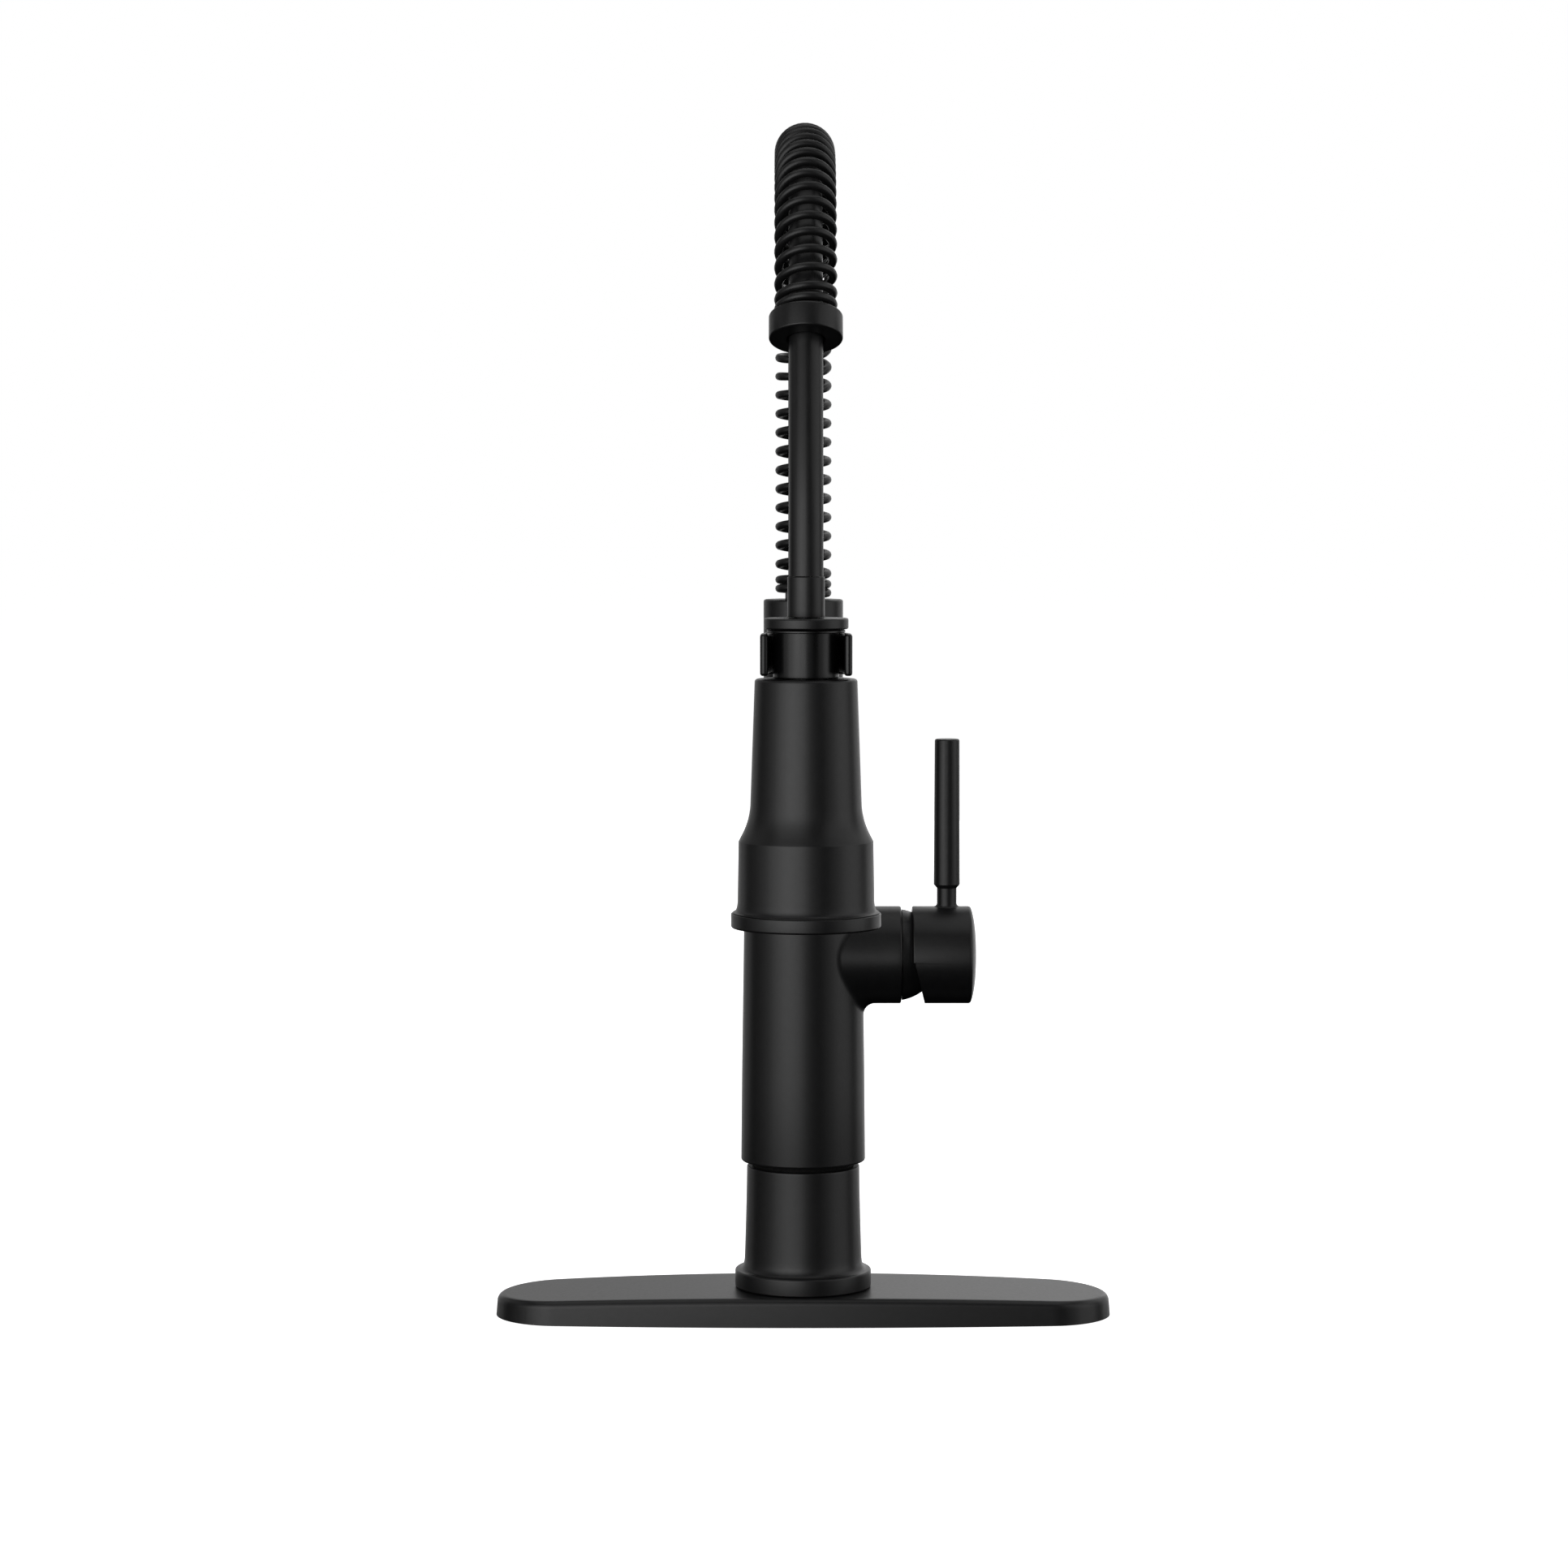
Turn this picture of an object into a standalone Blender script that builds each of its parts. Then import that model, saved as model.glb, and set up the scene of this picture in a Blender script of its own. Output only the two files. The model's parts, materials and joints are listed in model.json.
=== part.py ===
"""Spring-neck pull-down kitchen faucet on a three-hole deck plate, as an assembly of separate pieces.

The frame: +Z up, the origin on the body's vertical axis at the deck's surface, the user's side at -Y and the
handle at +X. Sizes are in millimetres, and MM turns them into Blender's metres. Each shape that is turned has an
outline of corners (radius, height, rounding) about its own axis, and a moving piece has its origin on the axis
of its joint.
"""

import math

import bmesh
import bpy
from mathutils import Matrix, Vector

MM = 0.001
GAP = 0.3  # clearance between pieces that touch
SIDES = 24  # sides of the large turned pieces
SMALL_SIDES = 16

# Deck plate and what holds the faucet to the counter
PLATE_HALF_LENGTH = 130.0
PLATE_HALF_WIDTH = 31.6
PLATE_END_RADIUS = 27.6
PLATE_TOP = 12.0
PLATE_WALL = 2.6
PLATE_EDGE = 3.0  # rounding of its upper edge
GASKET_THICK = 1.5
SHANK_RADIUS = 15.5
SHANK_BORE = 11.0
SHANK_BOTTOM = -58.0
SHANK_TOP = 22.0
NUT_TOP = -24.3
NUT_HEIGHT = 9.0

# Body
BASE_TOP = 63.6
BASE_NECK_RADIUS = 21.4  # the recess between the base and the sleeve
BASE_RING_RADIUS = 28.75
BASE_RING_TOP = 19.5
SLEEVE_BOTTOM = 65.8
SLEEVE_TOP = 196.0
SLEEVE_BOTTOM_RADIUS = 26.2
SLEEVE_LOWER_RADIUS = 25.85
SLEEVE_TOP_RADIUS = 24.5
SLEEVE_BORE = 21.0
INNER_BODY_RADIUS = 17.0
SPIGOT_RADIUS = 11.5
SPIGOT_TOP = 212.0

# Valve and handle, whose axis is along +X at this height
VALVE_HEIGHT = 152.9
PIVOT_X = 38.4  # centre of the dome, which the lever tilts about
HUB_RADIUS = 20.5
HUB_FACE_X = 41.2
HUB_BORE = 17.2
CARTRIDGE_RADIUS = 12.5
DOME_RADIUS = 19.4
CAP_SIDE_X = 46.0
CAP_END_X = 72.7
CAP_EDGE_X = 70.3  # where its round side ends and its end face starts
SET_SCREW_X = 57.0
LEVER_X = 60.4
LEVER_FOOT_RADIUS = 4.15
LEVER_TOP = 244.0

# Column, arm and dock
COLUMN_RADIUS = 16.65
COLUMN_BOTTOM = 197.6
COLUMN_TOP = 302.6
COLUMN_BORE = 13.4
ARM_HEIGHT = 289.0
ARM_HALF_HEIGHT = 5.4
ARM_HALF_WIDTH = 8.0
DOCK_OUTER = 16.85
DOCK_INNER = 13.9
DOCK_BOTTOM = 281.0
DOCK_TOP = 296.3
DOCK_ARMS = 9.6  # how far the clip's arms reach forward of the wand's axis

# Spring neck: straight up, a bend that comes in gradually, and a round arch that leans back in
NECK_BEND_START = 367.6
NECK_RADIUS = 100.8
NECK_RAMP_IN = 23.0
NECK_RAMP_OUT = 10.0
NECK_TURN = math.radians(157.4)
NECK_STEP = 0.5  # step of the walk along the neck's centre line
WIRE_RADIUS = 1.7
COIL_RADIUS = 10.1
COIL_PITCH = 7.83
COIL_TIGHTENING = 0.7  # how much the pitch has shrunk where the open turns end
FOOT_PITCH = 3.65  # close-wound turns on the column
FOOT_TURNS = 2.0
END_PITCH = 4.0  # close-wound turns in the collar
END_TURNS = 3.4
COIL_FIRST_TURN = 0.44  # turns from the wire's end to where it first passes the back of the column
COIL_STEPS = 12  # points for each turn
COLLAR_RADIUS = 13.75
COLLAR_LENGTH = 9.9
COLLAR_SEAT = 3.4  # floor that the spring's last turn rests on
HOSE_RADIUS = 6.35
HOSE_START = 214.0

# Spray wand, whose axis is vertical at this reach
REACH = 222.0
FERRULE_TOP = 317.0
FERRULE_BOTTOM = 302.2
DISC_BOTTOM = 297.9
DISC_TOP = 301.9
DISC_RADIUS = 15.55
NECK_TUBE_RADIUS = 12.1
SHELL_TOP = 279.6
RIM_TOP = 193.3
RIM_BOTTOM = 188.0
RIM_RADIUS = 27.65
FACE_RADIUS = 21.9
BUTTON_HEIGHT = 252.0


def clear_scene():
    for obj in list(bpy.data.objects):
        bpy.data.objects.remove(obj, do_unlink=True)


def material(name, colour, roughness, metallic):
    """A plain Principled material."""
    made = bpy.data.materials.new(name)
    made.use_nodes = True
    shader = made.node_tree.nodes["Principled BSDF"]
    shader.inputs["Base Color"].default_value = (*colour, 1.0)
    shader.inputs["Roughness"].default_value = roughness
    shader.inputs["Metallic"].default_value = metallic
    made.diffuse_color = (*colour, 1.0)
    return made


def make_materials():
    return {
        "matte": material("matte_black", (0.026, 0.026, 0.027), 0.42, 0.3),
        "gloss": material("gloss_black", (0.008, 0.008, 0.009), 0.12, 0.0),
        "hose": material("hose_black", (0.03, 0.03, 0.031), 0.45, 0.0),
        "rubber": material("rubber", (0.02, 0.02, 0.02), 0.8, 0.0),
        "nozzle": material("grey_rubber", (0.12, 0.12, 0.125), 0.6, 0.0),
        "brass": material("brass", (0.72, 0.53, 0.26), 0.3, 1.0),
        "steel": material("steel", (0.6, 0.6, 0.6), 0.3, 1.0),
        "plastic": material("white_plastic", (0.75, 0.75, 0.72), 0.4, 0.0),
        "dark": material("dark_plastic", (0.05, 0.05, 0.055), 0.5, 0.0),
    }


def add_object(name, bm, look, place=Matrix(), sharp_degrees=32.0):
    """An object from a bmesh in millimetres, placed by a matrix in metres and shaded smooth."""
    bmesh.ops.scale(bm, vec=(MM, MM, MM), verts=bm.verts)
    bmesh.ops.recalc_face_normals(bm, faces=bm.faces)
    mesh = bpy.data.meshes.new(name)
    bm.to_mesh(mesh)
    bm.free()
    mesh.shade_smooth()
    mesh.set_sharp_from_angle(angle=math.radians(sharp_degrees))
    mesh.materials.append(look)
    obj = bpy.data.objects.new(name, mesh)
    bpy.context.scene.collection.objects.link(obj)
    obj.matrix_world = place
    return obj


def at(x, y, z):
    """A place in millimetres, with the piece's own axis upright."""
    return Matrix.Translation((x * MM, y * MM, z * MM))


def along_x(x, z):
    """A place for a piece whose own axis points along +X."""
    return at(x, 0, z) @ Matrix.Rotation(math.radians(90), 4, "Y")


def along_y(x, y, z):
    """A place for a piece whose own axis points along -Y."""
    return at(x, y, z) @ Matrix.Rotation(math.radians(90), 4, "X")


def along_back(x, y, z):
    """A place for a piece whose own axis points along +Y, away from the user."""
    return at(x, y, z) @ Matrix.Rotation(math.radians(-90), 4, "X")


def rounded(corners, steps=1):
    """The outline with each corner (a, b, rounding) turned into an arc of that radius."""
    points = []
    for i, (a, b, radius) in enumerate(corners):
        here = Vector((a, b))
        if radius == 0:
            points.append(here)
            continue
        before = Vector(corners[i - 1][:2]) - here
        after = Vector(corners[(i + 1) % len(corners)][:2]) - here
        half = before.angle(after) / 2
        reach = radius / math.tan(half)
        start = here + before.normalized() * reach
        end = here + after.normalized() * reach
        middle = here + (before.normalized() + after.normalized()).normalized() * radius / math.sin(half)
        for step in range(steps + 1):
            mix = start.lerp(end, step / steps) - middle
            points.append(middle + mix.normalized() * radius)
    return points


def turned(corners, sides=SIDES, steps=1):
    """A bmesh turned about the local Z axis from a closed outline of (radius, height, rounding) corners."""
    bm = bmesh.new()
    outline = [bm.verts.new((p.x, 0, p.y)) for p in rounded(corners, steps)]
    edges = []
    for i, vert in enumerate(outline):
        other = outline[i - 1]
        if vert.co.x > 1e-6 or other.co.x > 1e-6:
            edges.append(bm.edges.new((other, vert)))
    bmesh.ops.spin(
        bm,
        geom=outline + edges,
        cent=(0, 0, 0),
        axis=(0, 0, 1),
        angle=math.tau,
        steps=sides,
        use_merge=True,
    )
    bmesh.ops.remove_doubles(bm, verts=bm.verts, dist=1e-5)
    return bm


def tube(outer, inner, low, high, edge=0.0):
    """Corners of a plain ring or sleeve, with its outer edges rounded."""
    return [(inner, low, 0), (outer, low, edge), (outer, high, edge), (inner, high, 0)]


def solid(outer, low, high, edge=0.0):
    """Corners of a plain solid cylinder, with its edges rounded."""
    return [(0, low, 0), (outer, low, edge), (outer, high, edge), (0, high, 0)]


def extruded(outline, low, high, inset=0.0, edge_steps=0):
    """A bmesh of a flat outline between two heights, its top edge rounded over by inset."""
    bm = bmesh.new()
    rings = [(0.0, low)]
    for step in range(edge_steps + 1):
        turn = math.pi / 2 * step / max(edge_steps, 1)
        rings.append((inset * (1 - math.cos(turn)), high - inset * (1 - math.sin(turn))))
    loops = []
    for inward, height in rings:
        loops.append([bm.verts.new((*(p - n * inward), height)) for p, n in outline])
    for lower, upper in zip(loops, loops[1:]):
        for i in range(len(lower)):
            bm.faces.new((lower[i - 1], lower[i], upper[i], upper[i - 1]))
    bm.faces.new(loops[0][::-1])
    bm.faces.new(loops[-1])
    return bm


def boxed(low, high):
    """A bmesh of a box between two corners."""
    bm = bmesh.new()
    bmesh.ops.create_cube(bm, size=1.0)
    low, high = Vector(low), Vector(high)
    bmesh.ops.scale(bm, vec=high - low, verts=bm.verts)
    bmesh.ops.translate(bm, vec=(low + high) / 2, verts=bm.verts)
    return bm


def combine(target, operation, tool):
    """A Boolean with a helper object, which the build leaves out."""
    tool.hide_render = True
    tool.display_type = "WIRE"
    modifier = target.modifiers.new(operation.lower() + "_" + tool.name, "BOOLEAN")
    modifier.operation = operation
    modifier.solver = "EXACT"
    modifier.object = tool
    return target


def cut(target, bm, place, look):
    return combine(target, "DIFFERENCE", add_object(target.name + "_cutter", bm, look, place))


def join(target, bm, place, look):
    return combine(target, "UNION", add_object(target.name + "_addition", bm, look, place))


def plate_outline(inset, end_steps=10, side_steps=6):
    """(point, outward direction) pairs of the plate's outline: long bowed sides that run into round ends."""
    end = PLATE_END_RADIUS
    centre = PLATE_HALF_LENGTH - end
    bulge = PLATE_HALF_WIDTH - end
    side = (centre**2 / bulge + PLATE_HALF_WIDTH + end) / 2
    meet = math.atan2(centre, side - PLATE_HALF_WIDTH)
    found = []
    for step in range(end_steps + 1):
        angle = (math.pi / 2 - meet) * (2 * step / end_steps - 1)
        out = Vector((math.cos(angle), math.sin(angle)))
        found.append((Vector((centre, 0)) + out * (end - inset), out))
    for step in range(1, side_steps):
        angle = math.pi / 2 - meet + 2 * meet * step / side_steps
        out = Vector((math.cos(angle), math.sin(angle)))
        found.append((Vector((0, PLATE_HALF_WIDTH - side)) + out * (side - inset), out))
    return found + [(-point, -out) for point, out in found]


def deck_pieces(looks):
    """What stands on the counter under the body, and what clamps it from below."""
    plate = extruded(plate_outline(0), 0, PLATE_TOP, PLATE_EDGE, 3)
    plate = add_object("deck_plate", plate, looks["matte"])
    pocket_top = PLATE_TOP - PLATE_WALL
    cut(plate, extruded(plate_outline(PLATE_WALL), -1, pocket_top), Matrix(), looks["matte"])

    inner = plate_outline(PLATE_WALL + GAP)
    gasket = add_object("deck_gasket", extruded(inner, 0, GASKET_THICK), looks["rubber"])
    insert = extruded(inner, GASKET_THICK + GAP, pocket_top - GAP)
    insert = add_object("deck_support", insert, looks["plastic"])
    for piece in (plate, gasket, insert):
        hole = turned(solid(SHANK_RADIUS + 1.5, -2, PLATE_TOP + 4))
        cut(piece, hole, Matrix(), piece.data.materials[0])

    shank = turned(tube(SHANK_RADIUS, SHANK_BORE, SHANK_BOTTOM, SHANK_TOP, 0.8), 16)
    add_object("mounting_shank", shank, looks["brass"])
    washer = turned(tube(26.0, SHANK_RADIUS + GAP, NUT_TOP + GAP, NUT_TOP + GAP + 2.0, 0.5), 16)
    add_object("mounting_washer", washer, looks["steel"])
    nut = add_object("mounting_nut", turned(solid(23.0, NUT_TOP - NUT_HEIGHT, NUT_TOP), 6), looks["brass"])
    thread = turned(solid(SHANK_RADIUS + GAP, NUT_TOP - 20, NUT_TOP + 20), 20)
    cut(nut, thread, Matrix(), looks["brass"])


def body_pieces(looks):
    """The fixed body: flared base, inner brass body, and the sleeve with the valve's hub."""
    seal = turned(tube(25.5, 21.5, PLATE_TOP + GAP, PLATE_TOP + 1.3))
    add_object("base_seal", seal, looks["rubber"])

    bore = INNER_BODY_RADIUS + 0.6
    low = PLATE_TOP + GAP
    base = turned(
        [
            (bore, low + 1.3, 0),
            (26.0, low + 1.3, 0),
            (26.0, low, 0),
            (BASE_RING_RADIUS, low, 0.5),
            (BASE_RING_RADIUS, BASE_RING_TOP, 0.8),
            (24.75, BASE_RING_TOP + 0.3, 3.2),
            (24.6, 27.0, 0),
            (24.0, 45.0, 0),
            (23.75, BASE_TOP, 0.6),
            (BASE_NECK_RADIUS, BASE_TOP, 0),
            (BASE_NECK_RADIUS, SLEEVE_BOTTOM - GAP, 0),
            (bore, SLEEVE_BOTTOM - GAP, 0),
        ],
        steps=2,
    )
    add_object("base_flange", base, looks["matte"])

    body = turned(
        [
            (5.0, SHANK_TOP + GAP, 0),
            (INNER_BODY_RADIUS, SHANK_TOP + GAP, 1.0),
            (INNER_BODY_RADIUS, 186.0, 1.0),
            (SPIGOT_RADIUS, 186.0, 0),
            (SPIGOT_RADIUS, 200.0, 0),
            (9.6, 200.0, 0),
            (9.6, 202.8, 0),
            (SPIGOT_RADIUS, 202.8, 0),
            (SPIGOT_RADIUS, 206.0, 0),
            (9.6, 206.0, 0),
            (9.6, 208.8, 0),
            (SPIGOT_RADIUS, 208.8, 0),
            (SPIGOT_RADIUS, SPIGOT_TOP, 0),
            (5.0, SPIGOT_TOP, 0),
        ],
        20,
    )
    body = add_object("valve_body", body, looks["brass"])
    join(body, turned(solid(16.2, 6, 26), 24), along_x(0, VALVE_HEIGHT), looks["brass"])
    cut(body, turned(solid(CARTRIDGE_RADIUS + GAP, 9, 40), 24), along_x(0, VALVE_HEIGHT), looks["brass"])

    sleeve = turned(
        [
            (INNER_BODY_RADIUS + GAP, SLEEVE_BOTTOM, 0),
            (SLEEVE_BOTTOM_RADIUS, SLEEVE_BOTTOM, 0.9),
            (SLEEVE_LOWER_RADIUS, 103.0, 0),
            (25.05, 159.0, 0),
            (SLEEVE_TOP_RADIUS, SLEEVE_TOP, 0.9),
            (SPIGOT_RADIUS + 2.6, SLEEVE_TOP, 0),
            (SPIGOT_RADIUS + 2.6, SLEEVE_TOP - 5, 0),
            (SLEEVE_BORE, SLEEVE_TOP - 5, 0),
            (SLEEVE_BORE, SLEEVE_BOTTOM + 4, 0),
            (INNER_BODY_RADIUS + GAP, SLEEVE_BOTTOM + 4, 0),
        ]
    )
    sleeve = add_object("body_sleeve", sleeve, looks["matte"])
    hub = turned([(0, 18, 0), (HUB_RADIUS, 18, 0), (HUB_RADIUS, HUB_FACE_X, 0.8), (0, HUB_FACE_X, 0)])
    join(sleeve, hub, along_x(0, VALVE_HEIGHT), looks["matte"])
    cut(sleeve, turned(solid(HUB_BORE, 10, 60), 24), along_x(0, VALVE_HEIGHT), looks["matte"])


def valve_pieces(looks):
    """The cartridge in the hub, its retaining nut and the dome that covers it."""
    cartridge = [
        (0, 9.5, 0),
        (CARTRIDGE_RADIUS, 9.5, 0.6),
        (CARTRIDGE_RADIUS, 32.0, 0.6),
        (7.2, 32.0, 0),
        (7.2, 28.0, 0),
        (0, 28.0, 0),
    ]
    cartridge = turned(cartridge, 16)
    add_object("valve_cartridge", cartridge, looks["plastic"], along_x(0, VALVE_HEIGHT))
    nut = turned(tube(HUB_BORE - GAP, CARTRIDGE_RADIUS + GAP, 26.4, 33.0, 0.5))
    add_object("cartridge_retainer", nut, looks["brass"], along_x(0, VALVE_HEIGHT))

    skirt = 16.9
    inner = DOME_RADIUS - 1.9
    opening = math.radians(38)
    steps = 3
    outline = [(skirt - 1.6, 34.0 - PIVOT_X, 0), (skirt, 34.0 - PIVOT_X, 0), (skirt, HUB_FACE_X - PIVOT_X + GAP, 0)]
    first = math.acos((HUB_FACE_X - PIVOT_X + GAP) / DOME_RADIUS)
    for step in range(steps + 1):
        turn = first + (opening - first) * step / steps
        outline.append((DOME_RADIUS * math.sin(turn), DOME_RADIUS * math.cos(turn), 0))
    last = math.asin((skirt - 1.6) / inner)
    for step in range(steps + 1):
        turn = opening + (last - opening) * step / steps
        outline.append((inner * math.sin(turn), inner * math.cos(turn), 0))
    add_object("dome_cap", turned(outline), looks["matte"], along_x(PIVOT_X, VALVE_HEIGHT))


def mixer_pieces(looks):
    """The rotor that turns with the handle's side swing, and the pin that the lever tilts on."""
    place = along_x(0, VALVE_HEIGHT)
    rotor = add_object("mixer_rotor", turned(solid(6.8, 28.4, 34.4, 0.4), 16), looks["dark"], place)
    cheek = turned([(0, 33.0, 0), (6.6, 33.0, 0), (6.6, 42.0, 0.6), (0, 42.0, 0)], 16)
    join(rotor, cheek, place, looks["dark"])
    slot = boxed((34.4, -3.9, -8), (45, 3.9, 8))
    cut(rotor, slot, at(0, 0, VALVE_HEIGHT), looks["dark"])
    hole = turned(solid(1.5, -9, 9), 12)
    cut(rotor, hole, along_y(PIVOT_X, 0, VALVE_HEIGHT), looks["dark"])
    pin = turned(solid(1.2, -6.2, 6.2, 0.3), 10)
    add_object("rotor_pin", pin, looks["steel"], along_y(PIVOT_X, 0, VALVE_HEIGHT))


def handle_pieces(looks):
    """The lever's stem, the cap that rides over the dome, and the upright lever."""
    pivot = along_x(PIVOT_X, VALVE_HEIGHT)
    stem = turned(solid(3.4, -3.6, 3.6), 16)
    stem = add_object("lever_stem", stem, looks["steel"], along_y(PIVOT_X, 0, VALVE_HEIGHT))
    join(stem, turned(solid(3.3, 0, 27.0, 0.5), 10), pivot, looks["steel"])
    cut(stem, turned(solid(1.5, -9, 9), 12), along_y(PIVOT_X, 0, VALVE_HEIGHT), looks["steel"])

    cavity = DOME_RADIUS + 0.5
    outline = []
    rim = CAP_SIDE_X - PIVOT_X
    steps = 4
    first = math.acos(rim / cavity)
    for step in range(steps + 1):
        turn = first * step / steps
        outline.append((cavity * math.sin(turn), cavity * math.cos(turn), 0))
    outline += [
        (HUB_RADIUS, rim, 0.5),
        (HUB_RADIUS, CAP_EDGE_X - PIVOT_X, 1.8),
        (12.0, CAP_END_X - 0.4 - PIVOT_X, 0),
        (0, CAP_END_X - PIVOT_X, 0),
    ]
    cap = add_object("handle_cap", turned(outline), looks["matte"], pivot)
    cut(cap, turned(solid(3.7, 10, 27.4), 16), pivot, looks["matte"])
    wedge = bmesh.new()
    corners = [(46.7, 151.5), (40.0, 151.5), (40.0, 128.0), (51.9, 128.0)]
    near = [wedge.verts.new((x, -30, z)) for x, z in corners]
    far = [wedge.verts.new((x, 30, z)) for x, z in corners]
    wedge.faces.new(near)
    wedge.faces.new(far[::-1])
    for i in range(4):
        wedge.faces.new((near[i - 1], far[i - 1], far[i], near[i]))
    cut(cap, wedge, Matrix(), looks["matte"])
    socket = turned(solid(3.2, 0, 20), 16)
    cut(cap, socket, at(LEVER_X, 0, VALVE_HEIGHT + 9), looks["matte"])

    lever = turned(
        [
            (0, VALVE_HEIGHT + 9.4, 0),
            (2.9, VALVE_HEIGHT + 9.4, 0.4),
            (2.9, VALVE_HEIGHT + HUB_RADIUS + 0.4, 0),
            (LEVER_FOOT_RADIUS, VALVE_HEIGHT + HUB_RADIUS + 0.4, 0),
            (LEVER_FOOT_RADIUS, 181.0, 0),
            (5.5, 183.0, 0),
            (5.2, LEVER_TOP, 0.7),
            (0, LEVER_TOP, 0),
        ],
        16,
    )
    bmesh.ops.translate(lever, vec=(LEVER_X - PIVOT_X, 0, -VALVE_HEIGHT), verts=lever.verts)
    add_object("handle_lever", lever, looks["matte"], at(PIVOT_X, 0, VALVE_HEIGHT))

    place = along_back(SET_SCREW_X, 0, VALVE_HEIGHT)
    cut(cap, turned(solid(2.3, 4.2, 30), 12), place, looks["matte"])
    add_object("handle_set_screw", turned(solid(2.0, 4.4, 15.5, 0.3), 10), looks["steel"], place)


def swivel_pieces(looks):
    """The bush and seals that the spout turns on."""
    bush = [
        (SPIGOT_RADIUS + GAP, 186.6, 0),
        (SPIGOT_RADIUS + 2.2, 186.6, 0),
        (SPIGOT_RADIUS + 2.2, SLEEVE_TOP + GAP, 0),
        (COLUMN_RADIUS - 0.6, SLEEVE_TOP + GAP, 0),
        (COLUMN_RADIUS - 0.6, COLUMN_BOTTOM - GAP, 0),
        (SPIGOT_RADIUS + GAP, COLUMN_BOTTOM - GAP, 0),
    ]
    add_object("swivel_bush", turned(bush, 24), looks["dark"])
    for name, height in (("swivel_seal_lower", 200.3), ("swivel_seal_upper", 206.3)):
        ring = turned(tube(SPIGOT_RADIUS + 0.2, 9.9, height, height + 2.2, 0.7), 16)
        add_object(name, ring, looks["rubber"])


def clip_outline(arc_steps=16, tip_steps=4):
    """(point, outward direction) pairs of the clip: half a ring with straight arms and round tips."""
    tip = (DOCK_OUTER - DOCK_INNER) / 2
    tip_y = tip - DOCK_ARMS
    found = []
    for step in range(arc_steps + 1):
        angle = math.pi * step / arc_steps
        out = Vector((math.cos(angle), math.sin(angle)))
        found.append((out * DOCK_OUTER, out))
    for step in range(tip_steps + 1):
        angle = math.pi + math.pi * step / tip_steps
        out = Vector((math.cos(angle), math.sin(angle)))
        found.append((Vector((tip - DOCK_OUTER, tip_y)) + out * tip, out))
    for step in range(arc_steps + 1):
        angle = math.pi * (1 - step / arc_steps)
        out = Vector((math.cos(angle), math.sin(angle)))
        found.append((out * DOCK_INNER, -out))
    for step in range(tip_steps + 1):
        angle = math.pi + math.pi * step / tip_steps
        out = Vector((math.cos(angle), math.sin(angle)))
        found.append((Vector((DOCK_OUTER - tip, tip_y)) + out * tip, out))
    return found


def column_pieces(looks):
    """The turning column, the arm on it and the clip that holds the spray."""
    column = turned(
        [
            (SPIGOT_RADIUS + 0.6, COLUMN_BOTTOM, 0),
            (COLUMN_RADIUS, COLUMN_BOTTOM, 0.5),
            (COLUMN_RADIUS, COLUMN_TOP, 1.0),
            (7.9, COLUMN_TOP, 0),
            (7.9, COLUMN_TOP - 7, 0),
            (COLUMN_BORE, COLUMN_TOP - 7, 0),
            (COLUMN_BORE, 216.0, 0),
            (SPIGOT_RADIUS + 0.6, 216.0, 0),
        ]
    )
    column = add_object("spout_column", column, looks["matte"])
    hole = along_y(0, 0, ARM_HEIGHT)
    cut(column, turned(solid(4.3, 8, 30), 16), hole, looks["matte"])

    post = turned(tube(7.6, 6.65, COLUMN_TOP - 9, COLUMN_TOP + 9), SMALL_SIDES)
    add_object("spring_post", post, looks["steel"])

    near = -REACH + DOCK_OUTER + 3.0
    arm = boxed(
        (-ARM_HALF_WIDTH, near, ARM_HEIGHT - ARM_HALF_HEIGHT),
        (ARM_HALF_WIDTH, -8, ARM_HEIGHT + ARM_HALF_HEIGHT),
    )
    arm = add_object("support_arm", arm, looks["matte"])
    cut(arm, turned(solid(COLUMN_RADIUS + GAP, 270, 310)), Matrix(), looks["matte"])
    join(arm, turned(solid(4.0, 11.0, 24.0), 16), hole, looks["matte"])
    edge = arm.modifiers.new("edges", "BEVEL")
    edge.width = 1.6 * MM
    edge.segments = 2
    edge.limit_method = "ANGLE"
    edge.angle_limit = math.radians(60)
    arm.modifiers.move(arm.modifiers.find("edges"), 0)

    clip = extruded(clip_outline(), DOCK_BOTTOM, DOCK_TOP, 0.6, 1)
    clip = add_object("dock_clip", clip, looks["gloss"], at(0, -REACH, 0))
    tail = boxed(
        (-ARM_HALF_WIDTH + 0.8, -REACH + DOCK_INNER + 1, ARM_HEIGHT - ARM_HALF_HEIGHT + 0.8),
        (ARM_HALF_WIDTH - 0.8, near - GAP, ARM_HEIGHT + ARM_HALF_HEIGHT - 0.8),
    )
    join(clip, tail, Matrix(), looks["gloss"])


def screw_pieces(looks):
    """The screw that holds the clip on the arm."""
    head_y = -REACH + DOCK_INNER + 0.6
    shaft = turned([(0, 0, 0), (3.2, 0, 0), (1.8, 2.4, 0), (1.8, 14.0, 0), (0, 14.0, 0)], 10)
    place = along_back(0, head_y, ARM_HEIGHT)
    add_object("clip_screw", shaft, looks["steel"], place)
    hole = [(0, -3, 0), (3.5, -3, 0), (3.5, 0, 0), (2.1, 2.4, 0), (2.1, 14.4, 0), (0, 14.4, 0)]
    for name in ("dock_clip", "support_arm"):
        cut(bpy.data.objects[name], turned(hole, 10), place, looks["steel"])


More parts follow.
